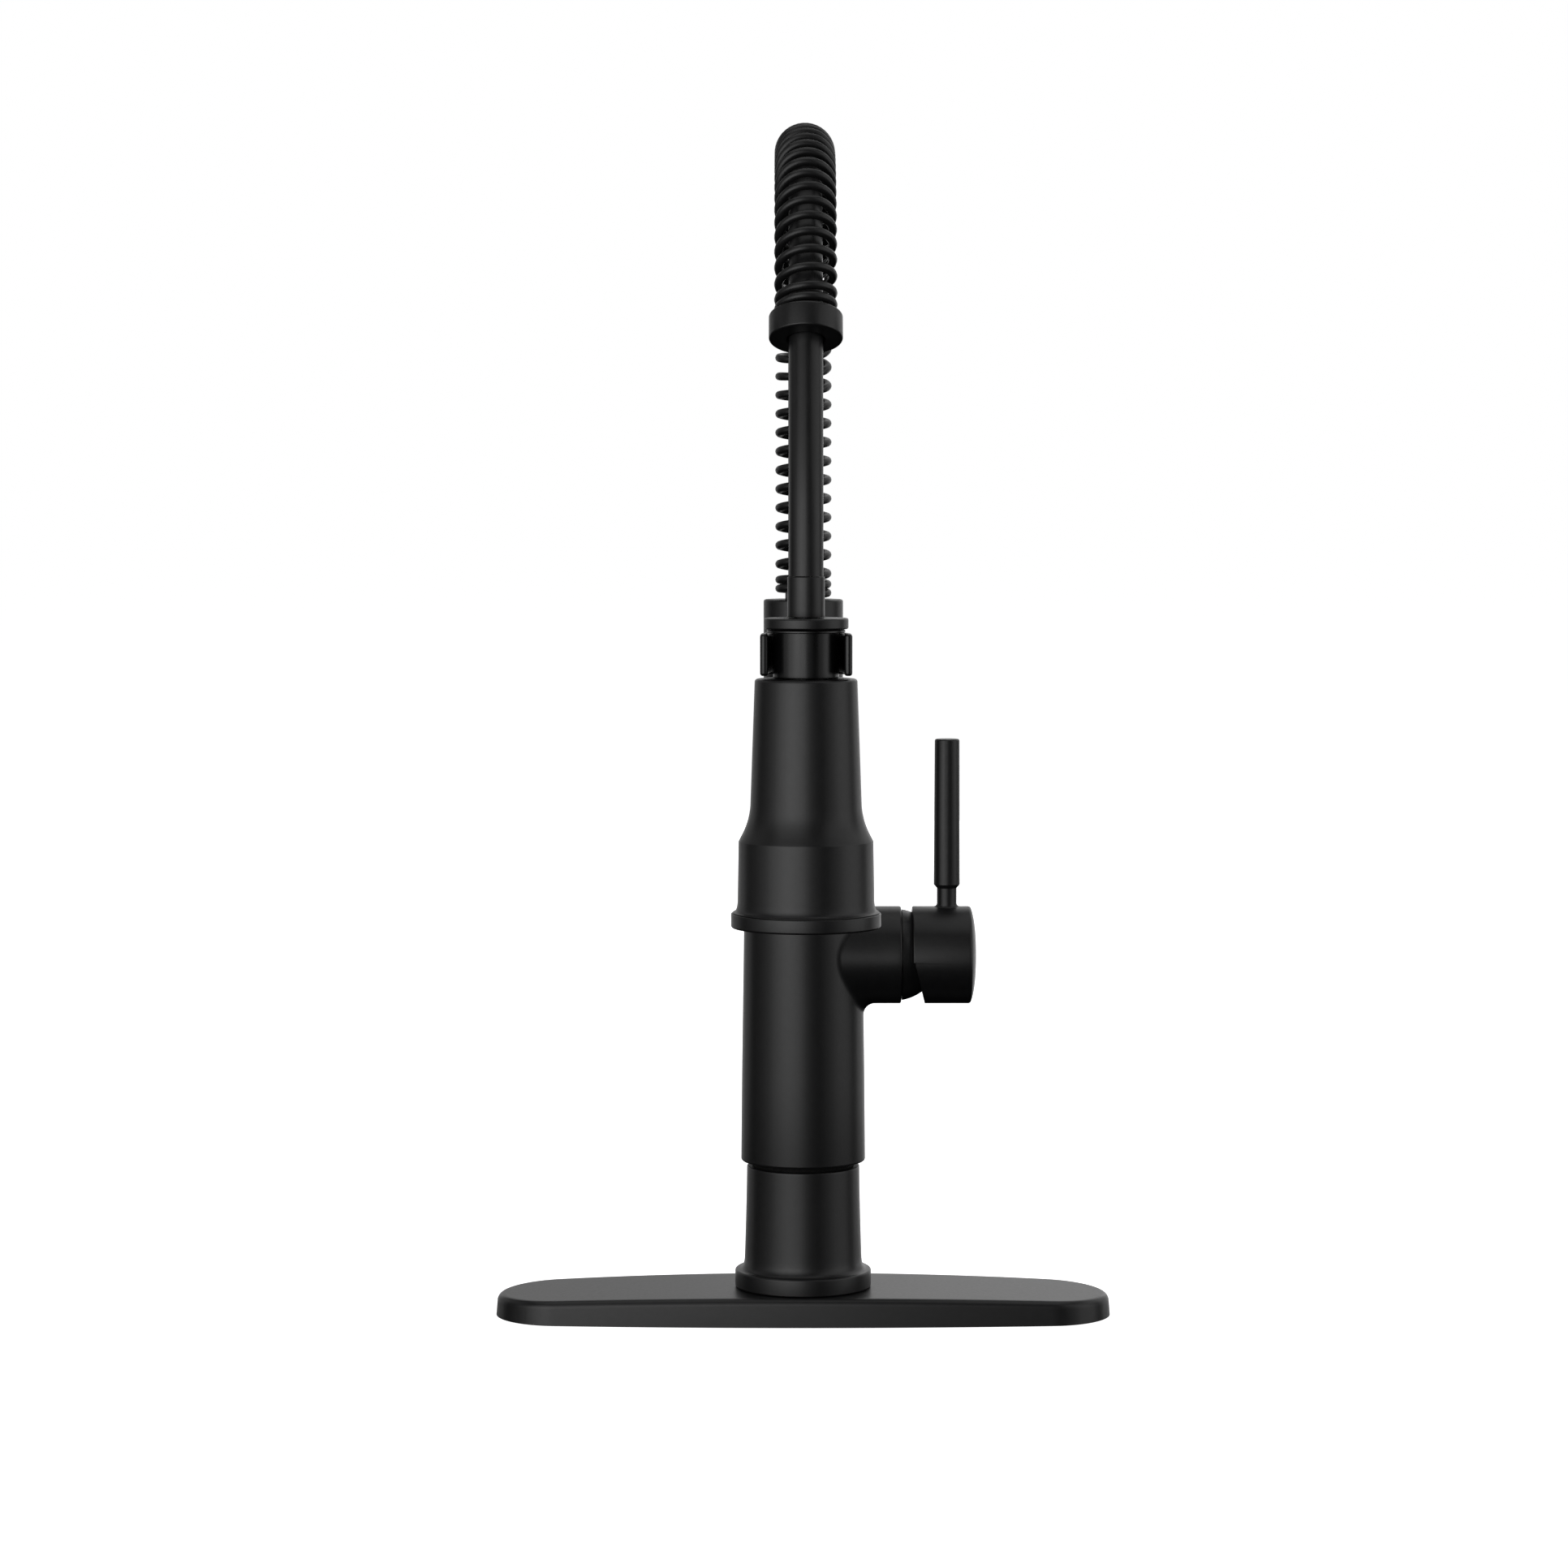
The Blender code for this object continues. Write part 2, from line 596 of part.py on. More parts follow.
def neck_walk(length):
    """Points (y, z, heading) along the neck's centre line every NECK_STEP, from the column's top."""
    straight = NECK_BEND_START - COLUMN_TOP
    bend = neck_bend_end() - straight
    y, z, heading = 0.0, COLUMN_TOP, 0.0
    walk = [(y, z, heading)]
    for step in range(int(length / NECK_STEP)):
        into = (step + 0.5) * NECK_STEP - straight
        rise = min(max(into / NECK_RAMP_IN, 0), 1)
        fall = min(max((bend - into) / NECK_RAMP_OUT, 0), 1)
        turn = min(rise, fall) / NECK_RADIUS * NECK_STEP
        heading += turn
        y -= math.sin(heading - turn / 2) * NECK_STEP
        z += math.cos(heading - turn / 2) * NECK_STEP
        walk.append((y, z, heading))
    return walk


def neck_bend_end():
    """Distance along the centre line from the column's top to the end of the bend."""
    round_part = NECK_TURN * NECK_RADIUS - (NECK_RAMP_IN + NECK_RAMP_OUT) / 2
    return NECK_BEND_START - COLUMN_TOP + NECK_RAMP_IN + round_part + NECK_RAMP_OUT


def neck_at(walk, distance):
    """The place and heading at a distance along the walk."""
    spot = min(max(distance / NECK_STEP, 0), len(walk) - 1.001)
    i = int(spot)
    mix = spot - i
    return [a + (b - a) * mix for a, b in zip(walk[i], walk[i + 1])]


def open_turns(length):
    """How many turns the open part of the spring has, between its two close-wound ends."""
    open_length = length - FOOT_TURNS * FOOT_PITCH - END_TURNS * END_PITCH
    return open_length / (COIL_PITCH - COIL_TIGHTENING / 5)


def coil_distance(turns, length):
    """How far along the spring the wire is after this many turns: open turns draw together to the collar."""
    middle = open_turns(length)
    if turns <= FOOT_TURNS:
        return turns * FOOT_PITCH
    if turns >= FOOT_TURNS + middle:
        return length - (FOOT_TURNS + middle + END_TURNS - turns) * END_PITCH
    into = turns - FOOT_TURNS
    return FOOT_TURNS * FOOT_PITCH + into * COIL_PITCH - COIL_TIGHTENING * middle / 5 * (into / middle) ** 5


def spring_piece(looks):
    """The right-handed coil spring, swept as a four-sided wire round the neck's centre line."""
    start = WIRE_RADIUS + GAP
    length = neck_bend_end() + COLLAR_LENGTH - COLLAR_SEAT - start
    walk = neck_walk(start + length + 2)
    total = FOOT_TURNS + open_turns(length) + END_TURNS
    count = round(total * COIL_STEPS)
    bm = bmesh.new()
    rings = []
    for i in range(count + 1):
        turns = total * i / count
        y, z, heading = neck_at(walk, start + coil_distance(turns, length))
        ahead = Vector((0, -math.sin(heading), math.cos(heading)))
        outside = Vector((0, math.cos(heading), math.sin(heading)))
        turn = (turns - COIL_FIRST_TURN) * math.tau
        away = outside * math.cos(turn) + ahead.cross(outside) * math.sin(turn)
        centre = Vector((0, y, z)) + away * COIL_RADIUS
        ring = []
        for side in range(4):
            angle = math.tau * side / 4
            ring.append(bm.verts.new(centre + (away * math.cos(angle) + ahead * math.sin(angle)) * WIRE_RADIUS))
        rings.append(ring)
    for one, two in zip(rings, rings[1:]):
        for i in range(4):
            bm.faces.new((one[i - 1], one[i], two[i], two[i - 1]))
    bm.faces.new(rings[0])
    bm.faces.new(rings[-1][::-1])
    add_object("spout_spring", bm, looks["matte"], sharp_degrees=60)


def collar_place():
    """Where the collar's lower end sits: its own Z axis points back up along the neck."""
    end = neck_bend_end() + COLLAR_LENGTH
    y, z, heading = neck_at(neck_walk(end + 2), end)
    return at(0, y, z) @ Matrix.Rotation(heading + math.pi, 4, "X")


def collar_piece(looks):
    """The turned collar that ends the spring."""
    outline = [
        (HOSE_RADIUS + 0.6, 0, 0.5),
        (COLLAR_RADIUS, 0, 0.8),
        (COLLAR_RADIUS, COLLAR_LENGTH, 1.0),
        (COIL_RADIUS + WIRE_RADIUS + GAP, COLLAR_LENGTH, 0),
        (COIL_RADIUS + WIRE_RADIUS + GAP, 1.4, 0),
        (HOSE_RADIUS + 0.6, 1.4, 0),
    ]
    add_object("spring_collar", turned(outline), looks["matte"], collar_place())


def hose_piece(looks):
    """The hose, whole: up inside the column and the spring, through the collar and down to the ferrule."""
    bend_end = neck_bend_end() + COLLAR_LENGTH
    walk = neck_walk(bend_end + 2)
    points = []
    for step in range(4):
        points.append(Vector((0, 0, HOSE_START + (COLUMN_TOP - HOSE_START) * step / 4)))
    neck_points = 17
    for step in range(neck_points):
        y, z, _ = neck_at(walk, bend_end * step / neck_points)
        points.append(Vector((0, y, z)))
    y, z, heading = neck_at(walk, bend_end)
    start = Vector((0, y, z))
    end = Vector((0, -REACH, FERRULE_TOP + GAP))
    ahead = Vector((0, -math.sin(heading), math.cos(heading)))
    handles = [start, start + ahead * 36, end + Vector((0, 0, 32)), end]
    hang_points = 7
    for step in range(hang_points + 1):
        t = step / hang_points
        weights = ((1 - t) ** 3, 3 * t * (1 - t) ** 2, 3 * t * t * (1 - t), t**3)
        points.append(sum((h * w for h, w in zip(handles, weights)), Vector((0, 0, 0))))
    curve = bpy.data.curves.new("spray_hose", "CURVE")
    curve.dimensions = "3D"
    curve.bevel_depth = HOSE_RADIUS * MM
    curve.bevel_resolution = 2
    curve.use_fill_caps = True
    curve.resolution_u = 1
    spline = curve.splines.new("POLY")
    spline.points.add(len(points) - 1)
    for point, place in zip(spline.points, points):
        point.co = (*(place * MM), 1)
    curve.materials.append(looks["hose"])
    hose = bpy.data.objects.new("spray_hose", curve)
    bpy.context.scene.collection.objects.link(hose)


def hose_end_pieces(looks):
    """The swivelling ferrule on the hose's end."""
    ferrule = [
        (0, 292.6, 0),
        (4.6, 292.6, 0),
        (4.6, FERRULE_BOTTOM, 0),
        (6.85, FERRULE_BOTTOM, 0.3),
        (6.85, FERRULE_TOP, 0.4),
        (0, FERRULE_TOP, 0),
    ]
    add_object("hose_ferrule", turned(ferrule, 16), looks["steel"], at(0, -REACH, 0))


def wand_pieces(looks):
    """The spray wand: neck, flange, shell, rim, face and what is inside."""
    axis = at(0, -REACH, 0)
    disc = turned(tube(DISC_RADIUS, 5.0, DISC_BOTTOM, DISC_TOP, 0.6))
    add_object("flange_disc", disc, looks["matte"], axis)

    neck = [
        (5.0, 281.6, 0),
        (5.0, DISC_BOTTOM - GAP, 0),
        (NECK_TUBE_RADIUS, DISC_BOTTOM - GAP, 0.4),
        (NECK_TUBE_RADIUS, SHELL_TOP + GAP, 0.4),
        (8.5, SHELL_TOP + GAP, 0),
        (8.5, 270.0, 0),
        (3.4, 270.0, 0),
        (3.4, 281.6, 0),
    ]
    add_object("wand_neck", turned(neck[::-1]), looks["gloss"], axis)
    add_object("check_valve", turned(solid(4.5, 282.0, 292.0, 0.8), 10), looks["plastic"], axis)

    core = tube(6.9, 3.4, 198.5, 269.7)
    add_object("waterway_core", turned(core, SMALL_SIDES), looks["plastic"], axis)

    shell = turned(
        [
            (23.0, RIM_TOP + GAP, 0),
            (26.7, RIM_TOP + GAP, 0.2),
            (25.3, 195.4, 0),
            (24.85, 219.6, 0),
            (23.6, 223.0, 0),
            (21.2, 229.5, 0),
            (20.45, 234.0, 0),
            (18.85, SHELL_TOP, 1.1),
            (8.8, SHELL_TOP, 0),
            (8.8, SHELL_TOP - 4, 0),
            (16.6, SHELL_TOP - 4, 0),
            (18.2, 234.0, 0),
            (22.4, 218.0, 0),
        ]
    )
    shell = add_object("wand_shell", shell, looks["matte"], axis)
    cut(shell, extruded(button_outline(0.4), 12.0, 30.0), button_place(), looks["matte"])

    rim = turned(tube(RIM_RADIUS, FACE_RADIUS + GAP, RIM_BOTTOM, RIM_TOP, 0.9))
    add_object("bell_rim", rim, looks["matte"], axis)
    face = [
        (8.3, 189.4, 0),
        (9.6, 189.4, 0),
        (9.6, 191.6, 0),
        (19.4, 191.6, 0),
        (19.4, 189.4, 0),
        (FACE_RADIUS, 189.4, 0.4),
        (FACE_RADIUS, 195.0, 0),
        (8.3, 195.0, 0),
    ]
    add_object("spray_face", turned(face), looks["dark"], axis)
    pad = turned(tube(19.1, 9.9, 189.0, 191.3, 0.3))
    add_object("nozzle_pad", pad, looks["nozzle"], axis)
    aerator = [(0, 190.2, 0), (8.0, 189.2, 0.4), (8.0, 198.2, 0), (0, 198.2, 0)]
    add_object("aerator", turned(aerator, SMALL_SIDES), looks["steel"], axis)


def button_outline(clear):
    """(point, outward direction) pairs of the button's upright oval, with its straight sides along local Y."""
    half_width, half_height = 6.0 + clear, 11.0 + clear
    straight = half_height - half_width
    found = []
    for end in (1, -1):
        for step in range(9):
            angle = math.pi * step / 8
            out = Vector((math.cos(angle), math.sin(angle))) * end
            found.append((out * half_width + Vector((0, straight * end)), out))
    return found


def button_place():
    """The button's own Z axis points back along +Y from the wand's axis, with its Y axis down."""
    return along_back(0, -REACH, BUTTON_HEIGHT)


def button_pieces(looks):
    """The push button on the wand's back and the plunger behind it."""
    button = extruded(button_outline(0), 13.8, 21.2, 1.0, 2)
    add_object("spray_button", button, looks["gloss"], button_place())
    plunger = turned(solid(1.8, 9.7, 13.5, 0.3), 10)
    add_object("button_plunger", plunger, looks["steel"], button_place())


def main():
    clear_scene()
    looks = make_materials()
    deck_pieces(looks)
    body_pieces(looks)
    valve_pieces(looks)
    mixer_pieces(looks)
    handle_pieces(looks)
    swivel_pieces(looks)
    column_pieces(looks)
    screw_pieces(looks)
    spring_piece(looks)
    collar_piece(looks)
    hose_piece(looks)
    hose_end_pieces(looks)
    wand_pieces(looks)
    button_pieces(looks)


main()
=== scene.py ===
"""Looks of the spring-neck pull-down faucet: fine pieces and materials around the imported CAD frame.

Lengths are worked out in millimetres and turned into metres when a piece is made. Places and main sizes come
from the CAD nodes' boxes; what a box can't say, such as a rounding or a groove, is a named value here.
"""

import json
import math

import bmesh
import bpy
from mathutils import Matrix, Vector


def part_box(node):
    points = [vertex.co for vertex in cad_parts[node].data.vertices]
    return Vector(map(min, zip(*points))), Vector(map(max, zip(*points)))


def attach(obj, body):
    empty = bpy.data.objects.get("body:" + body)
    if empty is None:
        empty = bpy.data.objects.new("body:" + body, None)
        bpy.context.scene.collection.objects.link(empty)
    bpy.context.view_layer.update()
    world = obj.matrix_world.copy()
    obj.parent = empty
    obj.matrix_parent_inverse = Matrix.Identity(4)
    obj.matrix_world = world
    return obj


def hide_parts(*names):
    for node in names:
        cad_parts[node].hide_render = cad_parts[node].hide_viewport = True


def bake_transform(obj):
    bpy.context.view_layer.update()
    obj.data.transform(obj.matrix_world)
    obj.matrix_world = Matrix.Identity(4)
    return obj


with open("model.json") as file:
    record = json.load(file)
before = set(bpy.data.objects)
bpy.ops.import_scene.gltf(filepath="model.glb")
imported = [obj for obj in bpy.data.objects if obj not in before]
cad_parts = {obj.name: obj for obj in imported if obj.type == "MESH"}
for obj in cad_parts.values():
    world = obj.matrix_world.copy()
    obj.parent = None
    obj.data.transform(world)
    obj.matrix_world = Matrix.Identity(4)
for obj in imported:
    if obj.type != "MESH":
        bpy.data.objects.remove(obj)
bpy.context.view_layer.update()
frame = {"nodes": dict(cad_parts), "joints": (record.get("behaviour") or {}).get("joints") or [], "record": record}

MM = 0.001
SIDES = 128  # sides of the large turned pieces
MIDDLE_SIDES = 96
SMALL_SIDES = 64
PIN_SIDES = 48  # sides of screws and of their holes
ROUND_STEPS = 6  # steps in a rounded edge
NUDGE = Vector((0.7, 0.4, 1.0)) * 5e-6  # metres that a Boolean's helper moves where the solver fails
NUDGES = 5
VOLUME_SLACK = 1.0001  # for rounding, when a Boolean's volume is checked

# Axes of the parts that turn
REACH = -(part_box("wand_neck")[0].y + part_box("wand_neck")[1].y) / 2 / MM
TILT_AXIS = next(joint["pos_m"] for joint in frame["joints"] if joint["name"] == "handle_tilt")
PIVOT_X = TILT_AXIS[0] / MM
VALVE_HEIGHT = TILT_AXIS[2] / MM

# Camera: just below the height where the neck starts to bend, looking slightly down
CAMERA_PLACE = (-0.0081, -1.769, 0.3518)
CAMERA_PITCH_DEGREES = 4.1
CAMERA_LENS = 96.9


# ---------------- geometry helpers

def at(x, y, z):
    """A place in millimetres, with the piece's own axis upright."""
    return Matrix.Translation((x * MM, y * MM, z * MM))


def along_x(x, z):
    """A place for a piece whose own axis points along +X."""
    return at(x, 0, z) @ Matrix.Rotation(math.radians(90), 4, "Y")


def along_y(x, y, z):
    """A place for a piece whose own axis points along +Y."""
    return at(x, y, z) @ Matrix.Rotation(math.radians(-90), 4, "X")


def along_arm(z):
    """A place at a height for a piece whose own axis points from the column's axis along -Y."""
    return at(0, 0, z) @ Matrix.Rotation(math.radians(90), 4, "X")


def extent(node):
    """(radius across X, lowest, highest) of a CAD node, in millimetres."""
    low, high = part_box(node)
    return (high.x - low.x) / 2 / MM, low.z / MM, high.z / MM


def middle_height(node):
    """The height of a CAD node's middle, in millimetres."""
    return sum(extent(node)[1:]) / 2


def rounded(corners):
    """The outline with each corner (a, b, rounding) turned into an arc of that radius."""
    points = []
    for i, (a, b, radius) in enumerate(corners):
        here = Vector((a, b))
        if radius == 0:
            points.append(here)
            continue
        before = Vector(corners[i - 1][:2]) - here
        after = Vector(corners[(i + 1) % len(corners)][:2]) - here
        half = before.angle(after) / 2
        reach = radius / math.tan(half)
        start = here + before.normalized() * reach
        end = here + after.normalized() * reach
        middle = here + (before.normalized() + after.normalized()).normalized() * radius / math.sin(half)
        for step in range(ROUND_STEPS + 1):
            mix = start.lerp(end, step / ROUND_STEPS) - middle
            points.append(middle + mix.normalized() * radius)
    return points


def bezier_weights(t):
    return (1 - t) ** 3, 3 * t * (1 - t) ** 2, 3 * t * t * (1 - t), t**3


def bend(start, one, two, end, steps):
    """Corners without rounding along a Bezier curve, both ends included."""
    found = []
    for step in range(steps + 1):
        weights = bezier_weights(step / steps)
        a = sum(w * p[0] for w, p in zip(weights, (start, one, two, end)))
        b = sum(w * p[1] for w, p in zip(weights, (start, one, two, end)))
        found.append((a, b, 0))
    return found


def arc_pairs(centre, radius, first, last, steps, outward=1):
    """(point, outward) pairs along an arc; outward is -1 along the inside of a wall."""
    found = []
    for step in range(steps + 1):
        angle = first + (last - first) * step / steps
        way = Vector((math.cos(angle), math.sin(angle)))
        found.append((Vector(centre) + way * radius, way * outward))
    return found


def with_opposite(half):
    """Half an outline of (point, outward) pairs, and the same half turned to the other side."""
    return half + [(-point, -out) for point, out in half]


def circle(centre, one, other, radius, sides):
    """Points round a centre, in the plane of two directions."""
    found = []
    for side in range(sides):
        angle = math.tau * side / sides
        found.append(centre + (one * math.cos(angle) + other * math.sin(angle)) * radius)
    return found


def turned(corners, sides=SIDES):
    """A bmesh turned about the local Z axis from a closed outline of (radius, height, rounding) corners."""
    bm = bmesh.new()
    outline = [bm.verts.new((p.x, 0, p.y)) for p in rounded(corners)]
    edges = []
    for i, vert in enumerate(outline):
        other = outline[i - 1]
        if vert.co.x > 1e-6 or other.co.x > 1e-6:
            edges.append(bm.edges.new((other, vert)))
    bmesh.ops.spin(
        bm,
        geom=outline + edges,
        cent=(0, 0, 0),
        axis=(0, 0, 1),
        angle=math.tau,
        steps=sides,
        use_merge=True,
    )
    bmesh.ops.remove_doubles(bm, verts=bm.verts, dist=1e-5)
    return bm


def tube(outer, inner, low, high, edge=0.0):
    """Corners of a ring or sleeve, with its outer edges rounded."""
    return [(inner, low, 0), (outer, low, edge), (outer, high, edge), (inner, high, 0)]


def solid(outer, low, high, edge=0.0):
    """Corners of a solid cylinder, with its edges rounded."""
    return [(0, low, 0), (outer, low, edge), (outer, high, edge), (0, high, 0)]


def skinned(loops, closed=True, caps=False):
    """A bmesh with quads between loops of the same length; closed joins the last loop to the first."""
    bm = bmesh.new()
    made = [[bm.verts.new(p) for p in loop] for loop in loops]
    pairs = list(zip(made, made[1:]))
    if closed:
        pairs.append((made[-1], made[0]))
    for one, two in pairs:
        for i in range(len(one)):
            bm.faces.new((one[i - 1], one[i], two[i], two[i - 1]))
    if caps:
        bm.faces.new(made[0][::-1])
        bm.faces.new(made[-1])
    return bm


def stacked(outline, rings):
    """A bmesh that runs through a flat outline of (point, outward) pairs at each (inset, height)."""
    loops = [[(*(p - out * inset), height) for p, out in outline] for inset, height in rings]
    return skinned(loops, closed=False, caps=True)


def extruded(outline, low, high, top_edge=0.0, bottom_edge=0.0, steps=ROUND_STEPS):
    """A bmesh of a flat outline between two heights, with its edges rounded over."""
    turns = [math.pi / 2 * step / steps for step in range(steps + 1)]
    rings = [(bottom_edge * (1 - math.sin(t)), low + bottom_edge * (1 - math.cos(t))) for t in turns]
    rings += [(top_edge * (1 - math.cos(t)), high - top_edge * (1 - math.sin(t))) for t in turns]
    if bottom_edge == 0:
        rings = rings[steps:]
    if top_edge == 0:
        rings = rings[:-steps]
    return stacked(outline, rings)


def boxed(low, high):
    """A bmesh of a box between two corners."""
    bm = bmesh.new()
    bmesh.ops.create_cube(bm, size=1.0)
    low, high = Vector(low), Vector(high)
    bmesh.ops.scale(bm, vec=high - low, verts=bm.verts)
    bmesh.ops.translate(bm, vec=(low + high) / 2, verts=bm.verts)
    return bm


def merged(*parts):
    """One bmesh holding several closed bodies."""
    bm = bmesh.new()
    for part in parts:
        mesh = bpy.data.meshes.new("part")
        part.to_mesh(mesh)
        part.free()
        bm.from_mesh(mesh)
        bpy.data.meshes.remove(mesh)
    return bm


def new_object(name, bm, place=Matrix()):
    """An object from a bmesh in millimetres, placed by a matrix in metres."""
    bmesh.ops.scale(bm, vec=(MM, MM, MM), verts=bm.verts)
    bmesh.ops.recalc_face_normals(bm, faces=bm.faces)
    mesh = bpy.data.meshes.new(name)
    bm.to_mesh(mesh)
    bm.free()
    obj = bpy.data.objects.new(name, mesh)
    bpy.context.scene.collection.objects.link(obj)
    obj.matrix_world = place
    return obj


def apply_modifiers(obj):
    bpy.context.view_layer.update()
    graph = bpy.context.evaluated_depsgraph_get()
    mesh = bpy.data.meshes.new_from_object(obj.evaluated_get(graph))
    obj.modifiers.clear()
    obj.data = mesh


def volume(mesh):
    """The signed volume of a mesh: below zero if it is inside out."""
    bm = bmesh.new()
    bm.from_mesh(mesh)
    found = bm.calc_volume(signed=True)
    bm.free()
    return found


def shaped(obj, operation, bm, place=Matrix()):
    """A Boolean with a helper, applied at once. If its volume comes out wrong, the helper moves by a hair.

    After NUDGES failed tries, each of them printed, the piece stays as it was.
    """
    tool = new_object(obj.name + "_tool", bm, place)
    before = obj.data
    most = volume(before) + (volume(tool.data) if operation == "UNION" else 0)
    for attempt in range(NUDGES):
        tool.matrix_world = place @ Matrix.Translation(NUDGE * attempt)
        modifier = obj.modifiers.new("shape", "BOOLEAN")
        modifier.operation = operation
        modifier.solver = "EXACT"
        modifier.object = tool
        apply_modifiers(obj)
        if 0 < volume(obj.data) < most * VOLUME_SLACK:
            break
        print("Boolean again:", obj.name, attempt)
        obj.data = before
    bpy.data.objects.remove(tool, do_unlink=True)
    return obj


def cut(obj, bm, place=Matrix()):
    return shaped(obj, "DIFFERENCE", bm, place)


def join(obj, bm, place=Matrix()):
    return shaped(obj, "UNION", bm, place)


def drill(obj, radius, low, high):
    """An upright hole on the middle axis, right through a piece between two heights."""
    return cut(obj, turned(solid(radius, low - 2, high + 2), SMALL_SIDES))


def soften(obj, width, degrees):
    """Rounds the edges sharper than this that a Boolean left."""
    modifier = obj.modifiers.new("soften", "BEVEL")
    modifier.width = width * MM
    modifier.segments = 3
    modifier.limit_method = "ANGLE"
    modifier.angle_limit = math.radians(degrees)
    modifier.use_clamp_overlap = True
    apply_modifiers(obj)
    return obj


def shade(obj, slot, sharp):
    """Smooth shading up to an angle in degrees, and the finish of a material slot."""
    obj.data.shade_smooth()
    obj.data.set_sharp_from_angle(angle=math.radians(sharp))
    obj.data.materials.clear()
    obj.data.materials.append(LOOKS[slot])


def finish(obj, slot, body, replaces=(), sharp=35):
    """Finishes a visible piece: its shading, the body that it rides on and the nodes it stands for."""
    shade(obj, slot, sharp)
    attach(obj, body)
    if replaces:
        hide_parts(*replaces)


def piece(name, bm, slot, body, replaces=(), place=Matrix()):
    """A visible piece that needs no more work."""
    finish(new_object(name, bm, place), slot, body, replaces)


# ---------------- materials

NOISE_SPAN = (0.3, 0.7)  # the part of a noise's range that the finishes use


class Look:
    """A Principled material and the small set of procedural nodes that the finishes are made of."""

    def __init__(self, name, roughness, metallic=0.0, specular=0.5):
        self.material = bpy.data.materials.new(name)
        self.material.use_nodes = True
        self.tree = self.material.node_tree
        self.shader = self.tree.nodes["Principled BSDF"]
        self.shader.inputs["Roughness"].default_value = roughness
        self.shader.inputs["Metallic"].default_value = metallic
        self.shader.inputs["Specular IOR Level"].default_value = specular
        self.coordinates = self.tree.nodes.new("ShaderNodeTexCoord").outputs["Object"]

    def link(self, output, target):
        self.tree.links.new(output, target)

    def stretched(self, scale):
        mapping = self.tree.nodes.new("ShaderNodeMapping")
        mapping.inputs["Scale"].default_value = scale
        self.link(self.coordinates, mapping.inputs["Vector"])
        return mapping.outputs["Vector"]

    def noise(self, scale, detail=3.0, stretch=None):
        node = self.tree.nodes.new("ShaderNodeTexNoise")
        node.inputs["Scale"].default_value = scale
        node.inputs["Detail"].default_value = detail
        self.link(self.stretched(stretch) if stretch else self.coordinates, node.inputs["Vector"])
        return node.outputs["Fac"]

    def colour(self, dark, light, factor):
        """The base colour runs between two colours by a texture."""
        ramp = self.tree.nodes.new("ShaderNodeValToRGB")
        for element, position, tint in zip(ramp.color_ramp.elements, NOISE_SPAN, (dark, light)):
            element.position = position
            element.color = (*tint, 1)
        self.link(factor, ramp.inputs["Fac"])
        self.link(ramp.outputs["Color"], self.shader.inputs["Base Color"])

    def roughness(self, low, high, factor):
        node = self.tree.nodes.new("ShaderNodeMapRange")
        values = (*NOISE_SPAN, low, high)
        for name, value in zip(("From Min", "From Max", "To Min", "To Max"), values):
            node.inputs[name].default_value = value
        self.link(factor, node.inputs["Value"])
        self.link(node.outputs["Result"], self.shader.inputs["Roughness"])

    def bump(self, heights, strength, distance):
        node = self.tree.nodes.new("ShaderNodeBump")
        node.inputs["Strength"].default_value = strength
        node.inputs["Distance"].default_value = distance
        self.link(heights, node.inputs["Height"])
        self.link(node.outputs["Normal"], self.shader.inputs["Normal"])


def powder_coat(name, roughness=0.36):
    """Matte black coating: a fine orange-peel skin, and gloss that varies a little across it."""
    look = Look(name, roughness)
    look.colour((0.0065, 0.0065, 0.0068), (0.0085, 0.0085, 0.0089), look.noise(260, 4))
    look.roughness(roughness - 0.015, roughness + 0.015, look.noise(700, 4))
    look.bump(look.noise(2600, 2), 0.06, 0.00006)
    return look.material


def gloss_black():
    """Polished black moulding: almost flat, with faint wiping marks in its gloss."""
    look = Look("gloss_black_plastic", 0.28)
    look.colour((0.002, 0.002, 0.0022), (0.0035, 0.0035, 0.0038), look.noise(45, 3))
    look.roughness(0.26, 0.31, look.noise(240, 6, (1, 1, 0.3)))
    look.bump(look.noise(140, 2), 0.04, 0.0001)
    return look.material


def hose_skin():
    """Smooth satin hose cover with a faint lengthwise drag of the extrusion."""
    look = Look("satin_hose", 0.36)
    look.colour((0.007, 0.007, 0.0073), (0.0095, 0.0095, 0.0099), look.noise(90, 4))
    look.roughness(0.33, 0.4, look.noise(300, 4, (1, 1, 0.15)))
    look.bump(look.noise(1500, 2, (1, 1, 0.1)), 0.05, 0.00005)
    return look.material


def rubber(name, dark, light):
    look = Look(name, 0.7, specular=0.15)
    look.colour(dark, light, look.noise(500, 5))
    look.roughness(0.6, 0.82, look.noise(900, 4))
    look.bump(look.noise(2200, 3), 0.2, 0.0001)
    return look.material


def metal(name, dark, light, roughness):
    """Turned metal: fine tool rings round the piece and slight clouding."""
    look = Look(name, roughness, metallic=1.0)
    look.colour(dark, light, look.noise(60, 5))
    look.roughness(roughness - 0.07, roughness + 0.1, look.noise(400, 4, (0.05, 0.05, 4)))
    look.bump(look.noise(900, 2, (0.05, 0.05, 5)), 0.15, 0.00008)
    return look.material


def moulded(name, dark, light, roughness=0.45):
    look = Look(name, roughness)
    look.colour(dark, light, look.noise(80, 4))
    look.roughness(roughness - 0.06, roughness + 0.08, look.noise(350, 4))
    look.bump(look.noise(1200, 3), 0.12, 0.00008)
    return look.material


